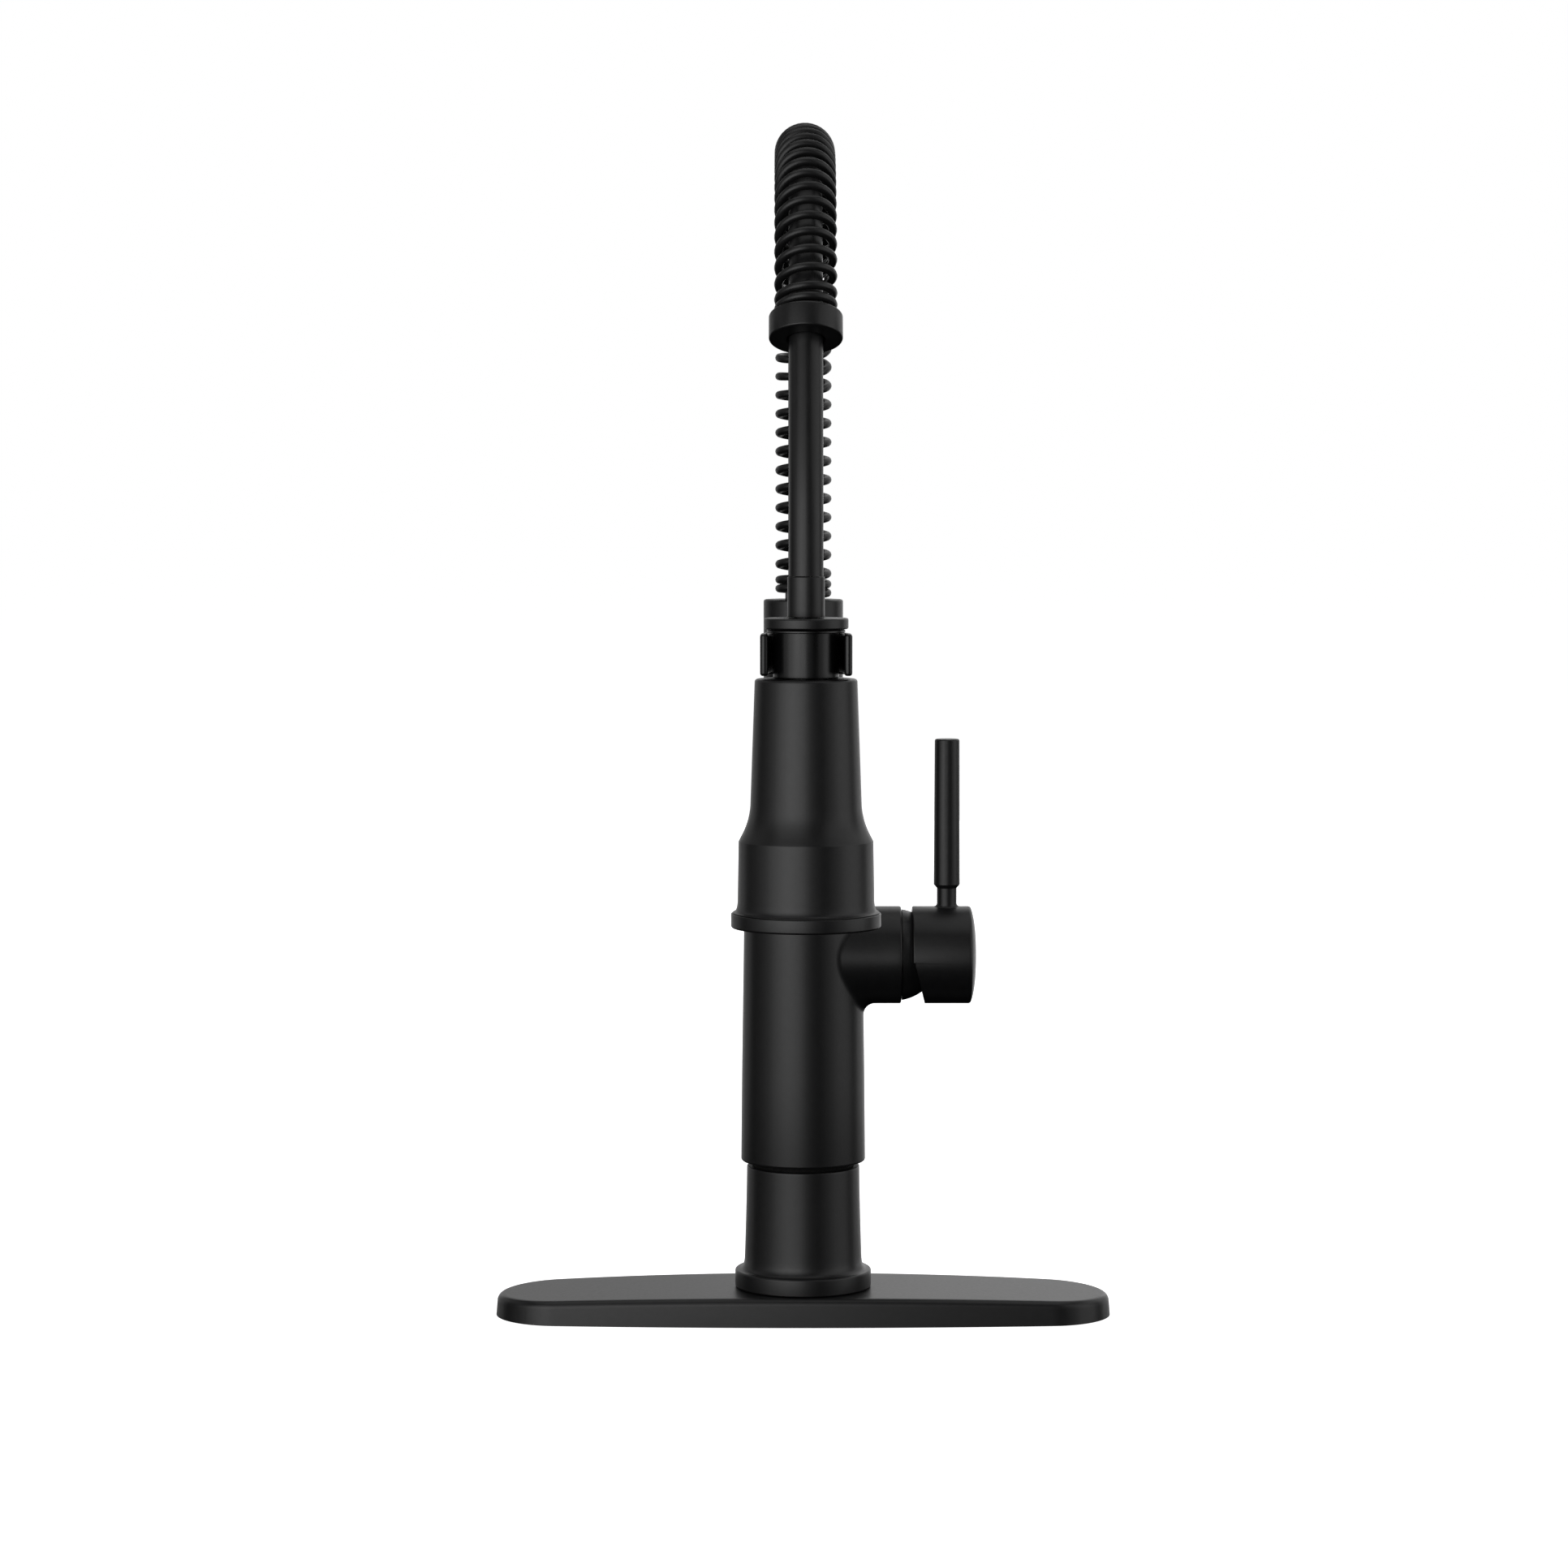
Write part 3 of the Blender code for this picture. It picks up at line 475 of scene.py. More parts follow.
LOOKS = {
    "matte_black": powder_coat("matte_black_coat"),
    "gloss_black": gloss_black(),
    "spring_black": powder_coat("spring_coat", 0.38),
    "hose_black": hose_skin(),
    "rubber": rubber("black_rubber", (0.003, 0.003, 0.003), (0.006, 0.006, 0.006)),
    "grey_rubber": rubber("nozzle_silicone", (0.07, 0.07, 0.073), (0.1, 0.1, 0.104)),
    "dark_plastic": moulded("dark_moulding", (0.018, 0.018, 0.019), (0.028, 0.028, 0.03)),
    "inner_plastic": moulded("natural_moulding", (0.62, 0.61, 0.57), (0.72, 0.71, 0.67)),
    "brass": metal("machined_brass", (0.6, 0.42, 0.18), (0.76, 0.56, 0.28), 0.3),
    "steel": metal("turned_steel", (0.48, 0.48, 0.48), (0.62, 0.62, 0.62), 0.28),
}


# ---------------- deck plate and mounting

PLATE_END_RADIUS = 27.6
PLATE_END_STEPS = 48
PLATE_SIDE_STEPS = 40
PLATE_EDGE = 3.0
PLATE_DRAFT = 0.5
PLATE_WALL = 2.6
PLATE_CROWN = 1.75e-4  # millimetres that its top drops at 1 mm from the middle; grows with the square
PLATE_GAP = 0.3
HOLE_RADIUS = 17.0
CROWN_STRIPS = 32  # on each side
CROWN_STRIP = 4.0
SHANK_BORE = 11.0
THREAD_PITCH = 1.6
THREAD_DEPTH = 0.8
NUT_BORE = 15.9


def plate_outline(inset):
    """(point, outward) pairs of the plate's outline: long bowed sides that run into round ends."""
    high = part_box("deck_plate")[1]
    half_length = high.x / MM
    half_width = high.y / MM
    end = PLATE_END_RADIUS
    centre = half_length - end
    bulge = half_width - end
    side = (centre**2 / bulge + half_width + end) / 2
    meet = math.pi / 2 - math.atan2(centre, side - half_width)
    half = arc_pairs((centre, 0), end - inset, -meet, meet, PLATE_END_STEPS)
    half += arc_pairs((0, half_width - side), side - inset, meet, math.pi - meet, PLATE_SIDE_STEPS)[1:-1]
    return with_opposite(half)


def drafted(outline, low, high, edge, draft, steps=8):
    """Like extruded, with its sides leaning in towards a rounded top edge."""
    rings = [(0.0, low)]
    for step in range(steps + 1):
        turn = math.pi / 2 * step / steps
        rings.append((draft + edge * (1 - math.cos(turn)), high - edge * (1 - math.sin(turn))))
    rings.append((draft + edge + 0.5, high))
    return stacked(outline, rings)


def crowned(obj, lowest):
    """Lets what lies above a height fall away in a curve towards both ends of the plate."""
    bm = bmesh.new()
    bm.from_mesh(obj.data)
    for step in range(-CROWN_STRIPS, CROWN_STRIPS + 1):
        whole = bm.verts[:] + bm.edges[:] + bm.faces[:]
        place = (step * CROWN_STRIP * MM, 0, 0)
        bmesh.ops.bisect_plane(bm, geom=whole, dist=1e-7, plane_co=place, plane_no=(1, 0, 0))
    for vert in bm.verts:
        if vert.co.z > lowest * MM:
            vert.co.z -= PLATE_CROWN * vert.co.x**2 / MM
    bm.to_mesh(obj.data)
    bm.free()


def make_deck():
    _, low, high = extent("deck_plate")
    plate = new_object("plate_cover", drafted(plate_outline(0), low, high, PLATE_EDGE, PLATE_DRAFT))
    cut(plate, extruded(plate_outline(PLATE_WALL), low - 1, high - PLATE_WALL))
    drill(plate, HOLE_RADIUS, low, high)
    crowned(plate, low + 4)
    finish(plate, "matte_black", "base", ["deck_plate"])

    inner = plate_outline(PLATE_WALL + PLATE_GAP)
    _, low, high = extent("deck_gasket")
    gasket = new_object("plate_gasket", extruded(inner, low, high, 0.3, 0.3, 3))
    drill(gasket, HOLE_RADIUS, low, high)
    finish(gasket, "rubber", "base", ["deck_gasket"])

    _, low, high = extent("deck_support")
    insert = new_object("plate_insert", extruded(inner, low, high, 0.5))
    drill(insert, HOLE_RADIUS, low, high)
    crowned(insert, low + 2)
    finish(insert, "inner_plastic", "base", ["deck_support"])


def make_mounting():
    """Threaded shank, washer and hexagon nut below the deck."""
    radius, low, high = extent("mounting_shank")
    root = radius - THREAD_DEPTH
    outline = [(SHANK_BORE, low, 0.5), (root, low, 0.5)]
    count = int((0 - low - 3) / THREAD_PITCH)
    for i in range(count):
        foot = low + 2 + i * THREAD_PITCH
        crest = foot + THREAD_PITCH * 0.4
        outline += [(root, foot, 0), (radius, crest, 0), (radius, foot + THREAD_PITCH * 0.55, 0)]
    outline += [(root, low + 2 + count * THREAD_PITCH, 0), (radius - 0.2, 0, 0)]
    outline += [(radius - 0.2, high, 0.5), (SHANK_BORE, high, 0.5)]
    piece("threaded_shank", turned(outline, SMALL_SIDES), "brass", "base", ["mounting_shank"])

    radius, low, high = extent("mounting_washer")
    washer = turned(tube(radius, NUT_BORE, low, high, 0.6), SMALL_SIDES)
    piece("clamp_washer", washer, "steel", "base", ["mounting_washer"])

    radius, low, high = extent("mounting_nut")
    sides = [Vector((math.cos(math.radians(60 * i)), math.sin(math.radians(60 * i)))) for i in range(6)]
    nut = new_object("clamp_nut", extruded([(s * radius, s) for s in sides], low, high))
    shaped(nut, "INTERSECT", turned(solid(radius - 0.4, low, high, 1.6), SMALL_SIDES))
    drill(nut, NUT_BORE, low, high)
    finish(nut, "brass", "base", ["mounting_nut"])


# ---------------- body

BASE_BORE = 17.6
BASE_SEAT_RADIUS = 26.0  # the step below for the ring seal
BASE_SEAT_DEPTH = 1.3
SEAL_BORE = 21.5
BASE_RING_TOP = 19.5
BASE_TOP = 63.6
BASE_NECK_RADIUS = 21.4  # the recess between the base and the sleeve
SLEEVE_BORE = 21.0
SLEEVE_TAPER = ((65.8, 26.2), (103.0, 25.85), (159.0, 25.05), (196.0, 24.5))  # (height, radius)
SLEEVE_FOOT_BORE = 17.3
SLEEVE_TOP_BORE = 14.1
HUB_RADIUS = 20.5
HUB_FILLET = 4.8
HUB_BORE = 17.4


def make_base():
    radius, low, high = extent("base_flange")
    ledge = BASE_RING_TOP
    cove = (
        (radius - 1.2, ledge + 0.05),
        (radius - 2.9, ledge + 0.3),
        (24.95, ledge + 1.8),
        (24.75, ledge + 4.4),
    )
    side = ((24.65, 26.0), (24.25, 38.0), (23.9, 52.0), (23.77, BASE_TOP - 1.2))
    outline = [
        (BASE_BORE, low + BASE_SEAT_DEPTH, 0),
        (BASE_SEAT_RADIUS, low + BASE_SEAT_DEPTH, 0),
        (BASE_SEAT_RADIUS, low, 0),
        (radius, low, 0.5),
        (radius, ledge, 0.8),
        *bend(*cove, 12),
        *bend(*side, 8),
        (23.75, BASE_TOP, 0.5),
        (BASE_NECK_RADIUS, BASE_TOP, 0.1),
        (BASE_NECK_RADIUS, BASE_TOP - 2, 0),
        (BASE_BORE, BASE_TOP - 2, 0),
    ]
    piece("body_base", turned(outline), "matte_black", "base", ["base_flange"])
    # Painted shade: a dark, dull rubber-finished ring lines the recess wall so that the gap under the sleeve reads
    # black
    ring = tube(BASE_NECK_RADIUS - 0.05, BASE_BORE, BASE_TOP - 1.95, high, 0.3)
    piece("recess_shade_ring", turned(ring), "rubber", "base")

    radius, low, high = extent("base_seal")
    seal = tube(radius, SEAL_BORE, low, high, 0.4)
    piece("base_ring_seal", turned(seal), "rubber", "base", ["base_seal"])


def sleeve_radius(height):
    """Outer radius of the sleeve at a height: it tapers in three steps that differ only slightly."""
    steps = zip(SLEEVE_TAPER, SLEEVE_TAPER[1:])
    (low, wide), (high, narrow) = next((pair for pair in steps if height < pair[1][0]), SLEEVE_TAPER[-2:])
    return wide + (narrow - wide) * (height - low) / (high - low)


def saddle(upper, tube_radius, big_radius, ball, sink, sides=SIDES, steps=10):
    """A tube standing on a larger cylinder and flaring onto it through a rolling-ball fillet.

    Its own Z axis is the tube's and its X axis the cylinder's. upper lists (radius, height) points from the
    inner wall over the tube's end to its outer wall, and big_radius gives the cylinder's radius along X.
    """
    loops = []
    for side in range(sides):
        angle = math.tau * side / sides
        way = Vector((math.cos(angle), math.sin(angle), 0))
        rolled = (tube_radius + ball) * way
        big = big_radius(rolled.x)
        centre = Vector((rolled.x, rolled.y, math.sqrt((big + ball) ** 2 - rolled.y**2)))
        down = Vector((0, -centre.y, -centre.z)).normalized()
        loop = [way * radius + Vector((0, 0, height)) for radius, height in upper]
        for step in range(steps + 1):
            aim = (-way).slerp(down, step / steps)
            loop.append(centre + aim * ball)
        loop.append(loop[-1] + down * sink)
        inner = way * upper[0][0]
        loop.append(Vector((inner.x, inner.y, math.sqrt((big - sink) ** 2 - inner.y**2))))
        loops.append(loop)
    return skinned(loops)


def make_sleeve():
    radius, low, high = extent("body_sleeve")
    outline = [
        (SLEEVE_FOOT_BORE, low, 0),
        (sleeve_radius(low), low, 0.9),
        *[(radius, height, 0) for height, radius in SLEEVE_TAPER[1:-1]],
        (sleeve_radius(high), high, 1.0),
        (SLEEVE_TOP_BORE, high, 0.3),
        (SLEEVE_TOP_BORE, high - 5, 0),
        (SLEEVE_BORE, high - 5, 0),
        (SLEEVE_BORE, low + 4, 0),
        (SLEEVE_FOOT_BORE, low + 4, 0),
    ]
    sleeve = new_object("sleeve_shell", turned(outline))
    cut(sleeve, turned(solid(HUB_BORE, 10, 40), SMALL_SIDES), along_x(0, VALVE_HEIGHT))
    finish(sleeve, "matte_black", "base", ["body_sleeve"])

    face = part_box("body_sleeve")[1].x / MM
    end = [(HUB_BORE, face - 3, 0), (HUB_BORE, face, 0.3), (HUB_RADIUS, face, 0.8), (HUB_RADIUS, face - 3, 0)]
    upper = [(p.x, p.y) for p in rounded(end)]
    hub = saddle(upper, HUB_RADIUS, lambda x: sleeve_radius(VALVE_HEIGHT + x), HUB_FILLET, 0.8)
    axes = Matrix(((0, 0, 1, 0), (0, 1, 0, 0), (1, 0, 0, 0), (0, 0, 0, 1)))
    flip = Matrix.Diagonal((1, -1, 1, 1))
    piece("sleeve_hub", hub, "matte_black", "base", place=at(0, 0, VALVE_HEIGHT) @ axes @ flip)


# ---------------- valve and handle

DOME_RADIUS = 19.4
DOME_WALL = 1.9
DOME_SKIRT = 16.9
SKIRT_WALL = 1.6
DOME_OPENING = math.radians(50)  # from the hub's axis to the opening's edge, which stays under the cap
CAP_RADIUS = 20.5
CAP_SIDE = 45.9
CAP_END = 70.3
CAP_WEDGE = ((46.6, 151.6), (52.0, 129.2))  # (x, z) of the ends of the slanted edge below
CAP_SOCKET = [(0, 9, 0), (3.3, 9, 0), (3.3, 16, 0), (3.8, 16, 0), (3.8, 24, 0), (0, 24, 0)]
STEM_HOLE = 3.7
GRUB_RADIUS = 2.0
GRUB_HOLE = 2.35
LEVER_X = 60.4
LEVER_NECK_RADIUS = 4.15
LEVER_FILLET = 1.5


def arc(radius, first, last, steps=24):
    """Corners along a circle about the origin, by the angle from the local Z axis."""
    found = []
    for step in range(steps + 1):
        turn = first + (last - first) * step / steps
        found.append((radius * math.sin(turn), radius * math.cos(turn), 0))
    return found


def make_dome():
    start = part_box("body_sleeve")[1].x / MM + 0.35 - PIVOT_X
    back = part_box("dome_cap")[0].x / MM - PIVOT_X
    inner = DOME_RADIUS - DOME_WALL
    bore = DOME_SKIRT - SKIRT_WALL
    outline = [(bore, back, 0), (DOME_SKIRT, back, 0), (DOME_SKIRT, start, 0)]
    outline += arc(DOME_RADIUS, math.acos(start / DOME_RADIUS), DOME_OPENING)
    outline += arc(inner, DOME_OPENING, math.asin(bore / inner))
    place = along_x(PIVOT_X, VALVE_HEIGHT)
    piece("valve_dome", turned(outline), "matte_black", "base", ["dome_cap"], place)


def make_cap():
    cavity = DOME_RADIUS + 0.5
    rim = CAP_SIDE - PIVOT_X
    end = CAP_END - PIVOT_X
    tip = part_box("handle_cap")[1].x / MM - PIVOT_X
    outline = arc(cavity, 0, math.acos(rim / cavity))
    outline += [(CAP_RADIUS, rim, 0.5), (CAP_RADIUS, end, 1.3)]
    outline += bend((18.4, end + 0.75), (13.0, tip - 0.15), (6.0, tip), (0, tip), 14)
    cap = new_object("lever_cap", turned(outline), along_x(PIVOT_X, VALVE_HEIGHT))
    (x1, z1), (x2, z2) = CAP_WEDGE
    wedge = [(x1, z1), (x1 - 8, z1), (x1 - 8, z2 - 3), (x2 + 0.7, z2 - 3)]
    wedge = skinned([[(x, y, z) for x, z in wedge] for y in (-30, 30)], closed=False, caps=True)
    cut(cap, wedge)
    cut(cap, turned(solid(STEM_HOLE, 10, 27.4), PIN_SIDES), along_x(PIVOT_X, VALVE_HEIGHT))
    cut(cap, turned(CAP_SOCKET, PIN_SIDES), at(LEVER_X, 0, VALVE_HEIGHT))
    low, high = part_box("handle_set_screw")
    place = along_y((low.x + high.x) / 2 / MM, 0, VALVE_HEIGHT)
    cut(cap, turned(solid(GRUB_HOLE, 4.2, 30), PIN_SIDES), place)
    soften(cap, 0.3, 50)
    finish(cap, "matte_black", "handle", ["handle_cap"], 40)

    grub = new_object("grub_screw", turned(solid(GRUB_RADIUS, 4.4, 15.5, 0.3), PIN_SIDES), place)
    cut(grub, turned(solid(1.15, 13.4, 20), 6), place)
    finish(grub, "steel", "handle", ["handle_set_screw"])


def make_lever():
    _, foot, top = extent("handle_lever")
    cap_top = VALVE_HEIGHT + CAP_RADIUS
    outline = [
        (0, foot, 0),
        (2.9, foot, 0.4),
        (2.9, cap_top - 4, 0),
        (LEVER_NECK_RADIUS, cap_top - 4, 0),
        (LEVER_NECK_RADIUS, 181.2, 0.2),
        (5.5, 182.7, 0.25),
        (5.2, top, 0.8),
        (0, top, 0),
    ]
    rod = turned(outline, MIDDLE_SIDES)
    bmesh.ops.translate(rod, vec=(LEVER_X - PIVOT_X, 0, -VALVE_HEIGHT), verts=rod.verts)
    piece("lever_rod", rod, "matte_black", "handle", ["handle_lever"], at(PIVOT_X, 0, VALVE_HEIGHT))

    radius = LEVER_NECK_RADIUS - 0.02
    upper = [(3.6, CAP_RADIUS + 2.4), (radius, CAP_RADIUS + 2.4)]
    flare = saddle(upper, radius, lambda x: CAP_RADIUS, LEVER_FILLET, 0.5, MIDDLE_SIDES)
    piece("lever_foot", flare, "matte_black", "handle", place=at(LEVER_X, 0, VALVE_HEIGHT))


# ---------------- column, arm and clip

ARM_EDGE = 2.4
CLIP_WALL = 2.95
CLIP_ARMS = 9.6  # how far the clip's arms reach forward of the wand's axis
COLUMN_BORE = 13.4
COLUMN_FOOT_BORE = 12.1
COLUMN_TOP_BORE = 7.9
COLUMN_TOP_WALL = 7
COLUMN_FOOT_TOP = 216.0  # height where the narrow bore of its foot ends
POST_BORE = 6.65
SPIGOT_RADIUS = 4.0  # of the arm, in a hole in the column

# The countersunk screw that holds the clip to the arm, and its hole
SCREW = [(0, 0, 0), (3.2, 0, 0), (1.8, 2.4, 0), (1.8, 14.0, 0.4), (0, 14.0, 0)]
SCREW_HOLE = [(0, -3, 0), (3.5, -3, 0), (3.5, 0, 0), (2.1, 2.4, 0), (2.1, 14.4, 0), (0, 14.4, 0)]


def make_column():
    radius, low, high = extent("spout_column")
    outline = [
        (COLUMN_FOOT_BORE, low, 0.2),
        (radius, low, 0.6),
        (radius, high, 1.0),
        (COLUMN_TOP_BORE, high, 0.4),
        (COLUMN_TOP_BORE, high - COLUMN_TOP_WALL, 0),
        (COLUMN_BORE, high - COLUMN_TOP_WALL, 0),
        (COLUMN_BORE, COLUMN_FOOT_TOP, 0),
        (COLUMN_FOOT_BORE, COLUMN_FOOT_TOP, 0),
    ]
    column = new_object("column_tube", turned(outline))
    hole = turned(solid(SPIGOT_RADIUS + 0.3, 8, 30), PIN_SIDES)
    cut(column, hole, along_arm(middle_height("support_arm")))
    finish(column, "matte_black", "spout", ["spout_column"])

    radius, low, high = extent("spring_post")
    post = turned(tube(radius, POST_BORE, low, high, 0.3), SMALL_SIDES)
    piece("spring_foot", post, "matte_black", "spout", ["spring_post"])

    radius, low, high = extent("swivel_bush")
    ring = [
        (11.8, low, 0),
        (13.7, low, 0),
        (13.7, 196.3, 0),
        (radius, 196.3, 0.2),
        (radius, high, 0.2),
        (11.8, high, 0),
    ]
    piece("swivel_ring", turned(ring), "dark_plastic", "base", ["swivel_bush"])


def rounded_rectangle(half_width, half_height, radius):
    """(point, outward) pairs round a rectangle with round corners."""
    found = []
    for quarter in range(4):
        corner_x = (half_width - radius) * (1, -1, -1, 1)[quarter]
        corner_y = (half_height - radius) * (1, 1, -1, -1)[quarter]
        first = math.pi / 2 * quarter
        found += arc_pairs((corner_x, corner_y), radius, first, first + math.pi / 2, 8)
    return found


def make_arm():
    low, high = (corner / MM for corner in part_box("support_arm"))
    middle = (low.z + high.z) / 2
    half_width, half_height = (high.x - low.x) / 2, (high.z - low.z) / 2
    bar = extruded(rounded_rectangle(half_width, half_height, ARM_EDGE), 8, -low.y, 0.8)
    arm = new_object("dock_arm", bar, along_arm(middle))
    cut(arm, turned(solid(extent("spout_column")[0] + 0.3, 260, 320)))
    join(arm, turned(solid(SPIGOT_RADIUS, 11.0, 24.0), PIN_SIDES), along_arm(middle))
    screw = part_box("clip_screw")[0].y / MM
    cut(arm, turned(SCREW_HOLE, PIN_SIDES), along_y(0, screw, middle))
    finish(arm, "matte_black", "spout", ["support_arm"])


def clip_outline(outer, inner):
    """(point, outward) pairs of the clip: half a ring with straight arms towards the front and round tips."""
    tip = (outer - inner) / 2
    side = (outer + inner) / 2
    found = arc_pairs((0, 0), outer, 0, math.pi, 72)
    found += arc_pairs((-side, tip - CLIP_ARMS), tip, math.pi, math.tau, 12)
    found += arc_pairs((0, 0), inner, math.pi, 0, 72, -1)
    found += arc_pairs((side, tip - CLIP_ARMS), tip, math.pi, math.tau, 12)
    return found


def make_clip():
    radius, low, high = extent("dock_clip")
    inner = radius - CLIP_WALL
    clip = extruded(clip_outline(radius, inner), low, high, 1.0, 1.0)
    clip = new_object("wand_clip", clip, at(0, -REACH, 0))
    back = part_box("dock_clip")[1].y / MM
    middle = middle_height("support_arm")
    tail = extruded(rounded_rectangle(7.2, 4.6, 1.8), -back, REACH - inner - 1)
    join(clip, tail, along_arm(middle))
    place = along_y(0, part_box("clip_screw")[0].y / MM, middle)
    cut(clip, turned(SCREW_HOLE, PIN_SIDES), place)
    finish(clip, "gloss_black", "spout", ["dock_clip"])

    fixing = new_object("clip_fixing", turned(SCREW, PIN_SIDES), place)
    for turn in (0, 90):
        slot = boxed((-2.0, -0.3, -1), (2.0, 0.3, 1.1))
        cut(fixing, slot, place @ Matrix.Rotation(math.radians(turn), 4, "Z"))
    finish(fixing, "steel", "spout", ["clip_screw"])


# ---------------- spring neck and hose

NECK_BEND_START = 367.6
NECK_RADIUS = 100.8
NECK_RAMP_IN = 23.0
NECK_RAMP_OUT = 10.0
NECK_TURN = math.radians(157.4)
NECK_STEP = 0.25
WIRE_RADIUS = 1.7
WIRE_SIDES = 12
COIL_RADIUS = 10.1
COIL_PITCH = 7.83
COIL_TIGHTENING = 0.7  # how much the pitch has shrunk where the open turns end
FOOT_PITCH = 3.65  # close-wound turns on the column
FOOT_TURNS = 2.0
END_PITCH = 4.0  # close-wound turns in the collar
END_TURNS = 3.4
COIL_FIRST_TURN = 0.44  # turns from the wire's end to where it first passes the back of the column
COIL_STEPS = 40
COLLAR_LENGTH = 9.9
COLLAR_SEAT = 3.4
HOSE_RADIUS = 6.35
HOSE_SIDES = 48
HOSE_LEG_STEPS = 8  # inside the column
HOSE_ARCH_STEPS = 140
HOSE_HANDLES = (36, 32)  # lengths of the Bezier handles at the collar and at the ferrule
HOSE_FREE_STEPS = 60
HOSE_FREE_RINGS = HOSE_FREE_STEPS + 3  # rings of the piece that runs down to the wand's ferrule; they start inside the collar


def neck_walk(length):
    """Points (y, z, heading) along the neck's centre line every NECK_STEP, from the column's top."""
    column_top = extent("spout_column")[2]
    straight = NECK_BEND_START - column_top
    bend_length = neck_bend_end() - straight
    y, z, heading = 0.0, column_top, 0.0
    walk = [(y, z, heading)]
    for step in range(int(length / NECK_STEP)):
        into = (step + 0.5) * NECK_STEP - straight
        rise = min(max(into / NECK_RAMP_IN, 0), 1)
        fall = min(max((bend_length - into) / NECK_RAMP_OUT, 0), 1)
        turn = min(rise, fall) / NECK_RADIUS * NECK_STEP
        heading += turn
        y -= math.sin(heading - turn / 2) * NECK_STEP
        z += math.cos(heading - turn / 2) * NECK_STEP
        walk.append((y, z, heading))
    return walk


def neck_bend_end():
    """Distance along the centre line from the column's top to the end of the bend."""
    round_part = NECK_TURN * NECK_RADIUS - (NECK_RAMP_IN + NECK_RAMP_OUT) / 2
    return NECK_BEND_START - extent("spout_column")[2] + NECK_RAMP_IN + round_part + NECK_RAMP_OUT


def neck_at(walk, distance):
    """The place and heading at a distance along the walk."""
    spot = min(max(distance / NECK_STEP, 0), len(walk) - 1.001)
    i = int(spot)
    mix = spot - i
    return [a + (b - a) * mix for a, b in zip(walk[i], walk[i + 1])]


def open_turns(length):
    """How many turns the open part of the spring has, between its two close-wound ends."""
    return (length - FOOT_TURNS * FOOT_PITCH - END_TURNS * END_PITCH) / (COIL_PITCH - COIL_TIGHTENING / 5)


def coil_distance(turns, length):
    """How far along the spring the wire is after this many turns: open turns draw together to the collar."""
    middle = open_turns(length)
    if turns <= FOOT_TURNS:
        return turns * FOOT_PITCH
    if turns >= FOOT_TURNS + middle:
        return length - (FOOT_TURNS + middle + END_TURNS - turns) * END_PITCH
    into = turns - FOOT_TURNS
    return FOOT_TURNS * FOOT_PITCH + into * COIL_PITCH - COIL_TIGHTENING * middle / 5 * (into / middle) ** 5


def make_spring():
    start = WIRE_RADIUS + 0.3
    length = neck_bend_end() + COLLAR_LENGTH - COLLAR_SEAT - start
    walk = neck_walk(start + length + 2)
    total = FOOT_TURNS + open_turns(length) + END_TURNS
    count = round(total * COIL_STEPS)
    loops = []
    for i in range(count + 1):
        turns = total * i / count
        y, z, heading = neck_at(walk, start + coil_distance(turns, length))
        ahead = Vector((0, -math.sin(heading), math.cos(heading)))
        outside = Vector((0, math.cos(heading), math.sin(heading)))
        turn = (turns - COIL_FIRST_TURN) * math.tau
        away = outside * math.cos(turn) + ahead.cross(outside) * math.sin(turn)
        centre = Vector((0, y, z)) + away * COIL_RADIUS
        loops.append(circle(centre, away, ahead, WIRE_RADIUS, WIRE_SIDES))
    spring = new_object("coil_spring", skinned(loops, closed=False, caps=True))
    finish(spring, "spring_black", "spout", ["spout_spring"], 60)


def collar_end():
    """(y, z, heading) of the centre of the collar's open end."""
    distance = neck_bend_end() + COLLAR_LENGTH
    return neck_at(neck_walk(distance + 2), distance)


def make_collar():
    y, z, heading = collar_end()
    place = at(0, y, z) @ Matrix.Rotation(heading + math.pi, 4, "X")
    radius = extent("spring_collar")[0]
    seat = COIL_RADIUS + WIRE_RADIUS + 0.3
    outline = [
        (HOSE_RADIUS + 0.6, 0, 0.6),
        (radius, 0, 0.8),
        (radius, COLLAR_LENGTH, 1.1),
        (seat, COLLAR_LENGTH, 0.3),
        (seat, 1.4, 0),
        (HOSE_RADIUS + 0.6, 1.4, 0),
    ]
    piece("spring_end_collar", turned(outline), "matte_black", "spout", ["spring_collar"], place)


def hose_route():
    """Centre line of the hose: up the column, round the neck, out of the collar and down to the ferrule."""
    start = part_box("spray_hose")[0].z / MM
    column_top = extent("spout_column")[2]
    bend_end = neck_bend_end() + COLLAR_LENGTH
    walk = neck_walk(bend_end + 2)
    steps = HOSE_LEG_STEPS
    points = [Vector((0, 0, start + (column_top - start) * step / steps)) for step in range(steps)]
    for step in range(HOSE_ARCH_STEPS):
        y, z, _ = neck_at(walk, bend_end * step / HOSE_ARCH_STEPS)
        points.append(Vector((0, y, z)))
    y, z, heading = collar_end()
    first = Vector((0, y, z))
    last = Vector((0, -REACH, extent("hose_ferrule")[2] + 0.3))
    ahead = Vector((0, -math.sin(heading), math.cos(heading)))
    handles = [first, first + ahead * HOSE_HANDLES[0], last + Vector((0, 0, HOSE_HANDLES[1])), last]
    for step in range(HOSE_FREE_STEPS + 1):
        weights = bezier_weights(step / HOSE_FREE_STEPS)
        points.append(sum((h * w for h, w in zip(handles, weights)), Vector((0, 0, 0))))
    return points


def hose_loops():
    """Rings round the hose's centre line."""
    points = hose_route()
    loops = []
    for i, point in enumerate(points):
        ahead = (points[min(i + 1, len(points) - 1)] - points[max(i - 1, 0)]).normalized()
        across = Vector((1, 0, 0))
        loops.append(circle(point, across, ahead.cross(across), HOSE_RADIUS, HOSE_SIDES))
    return loops


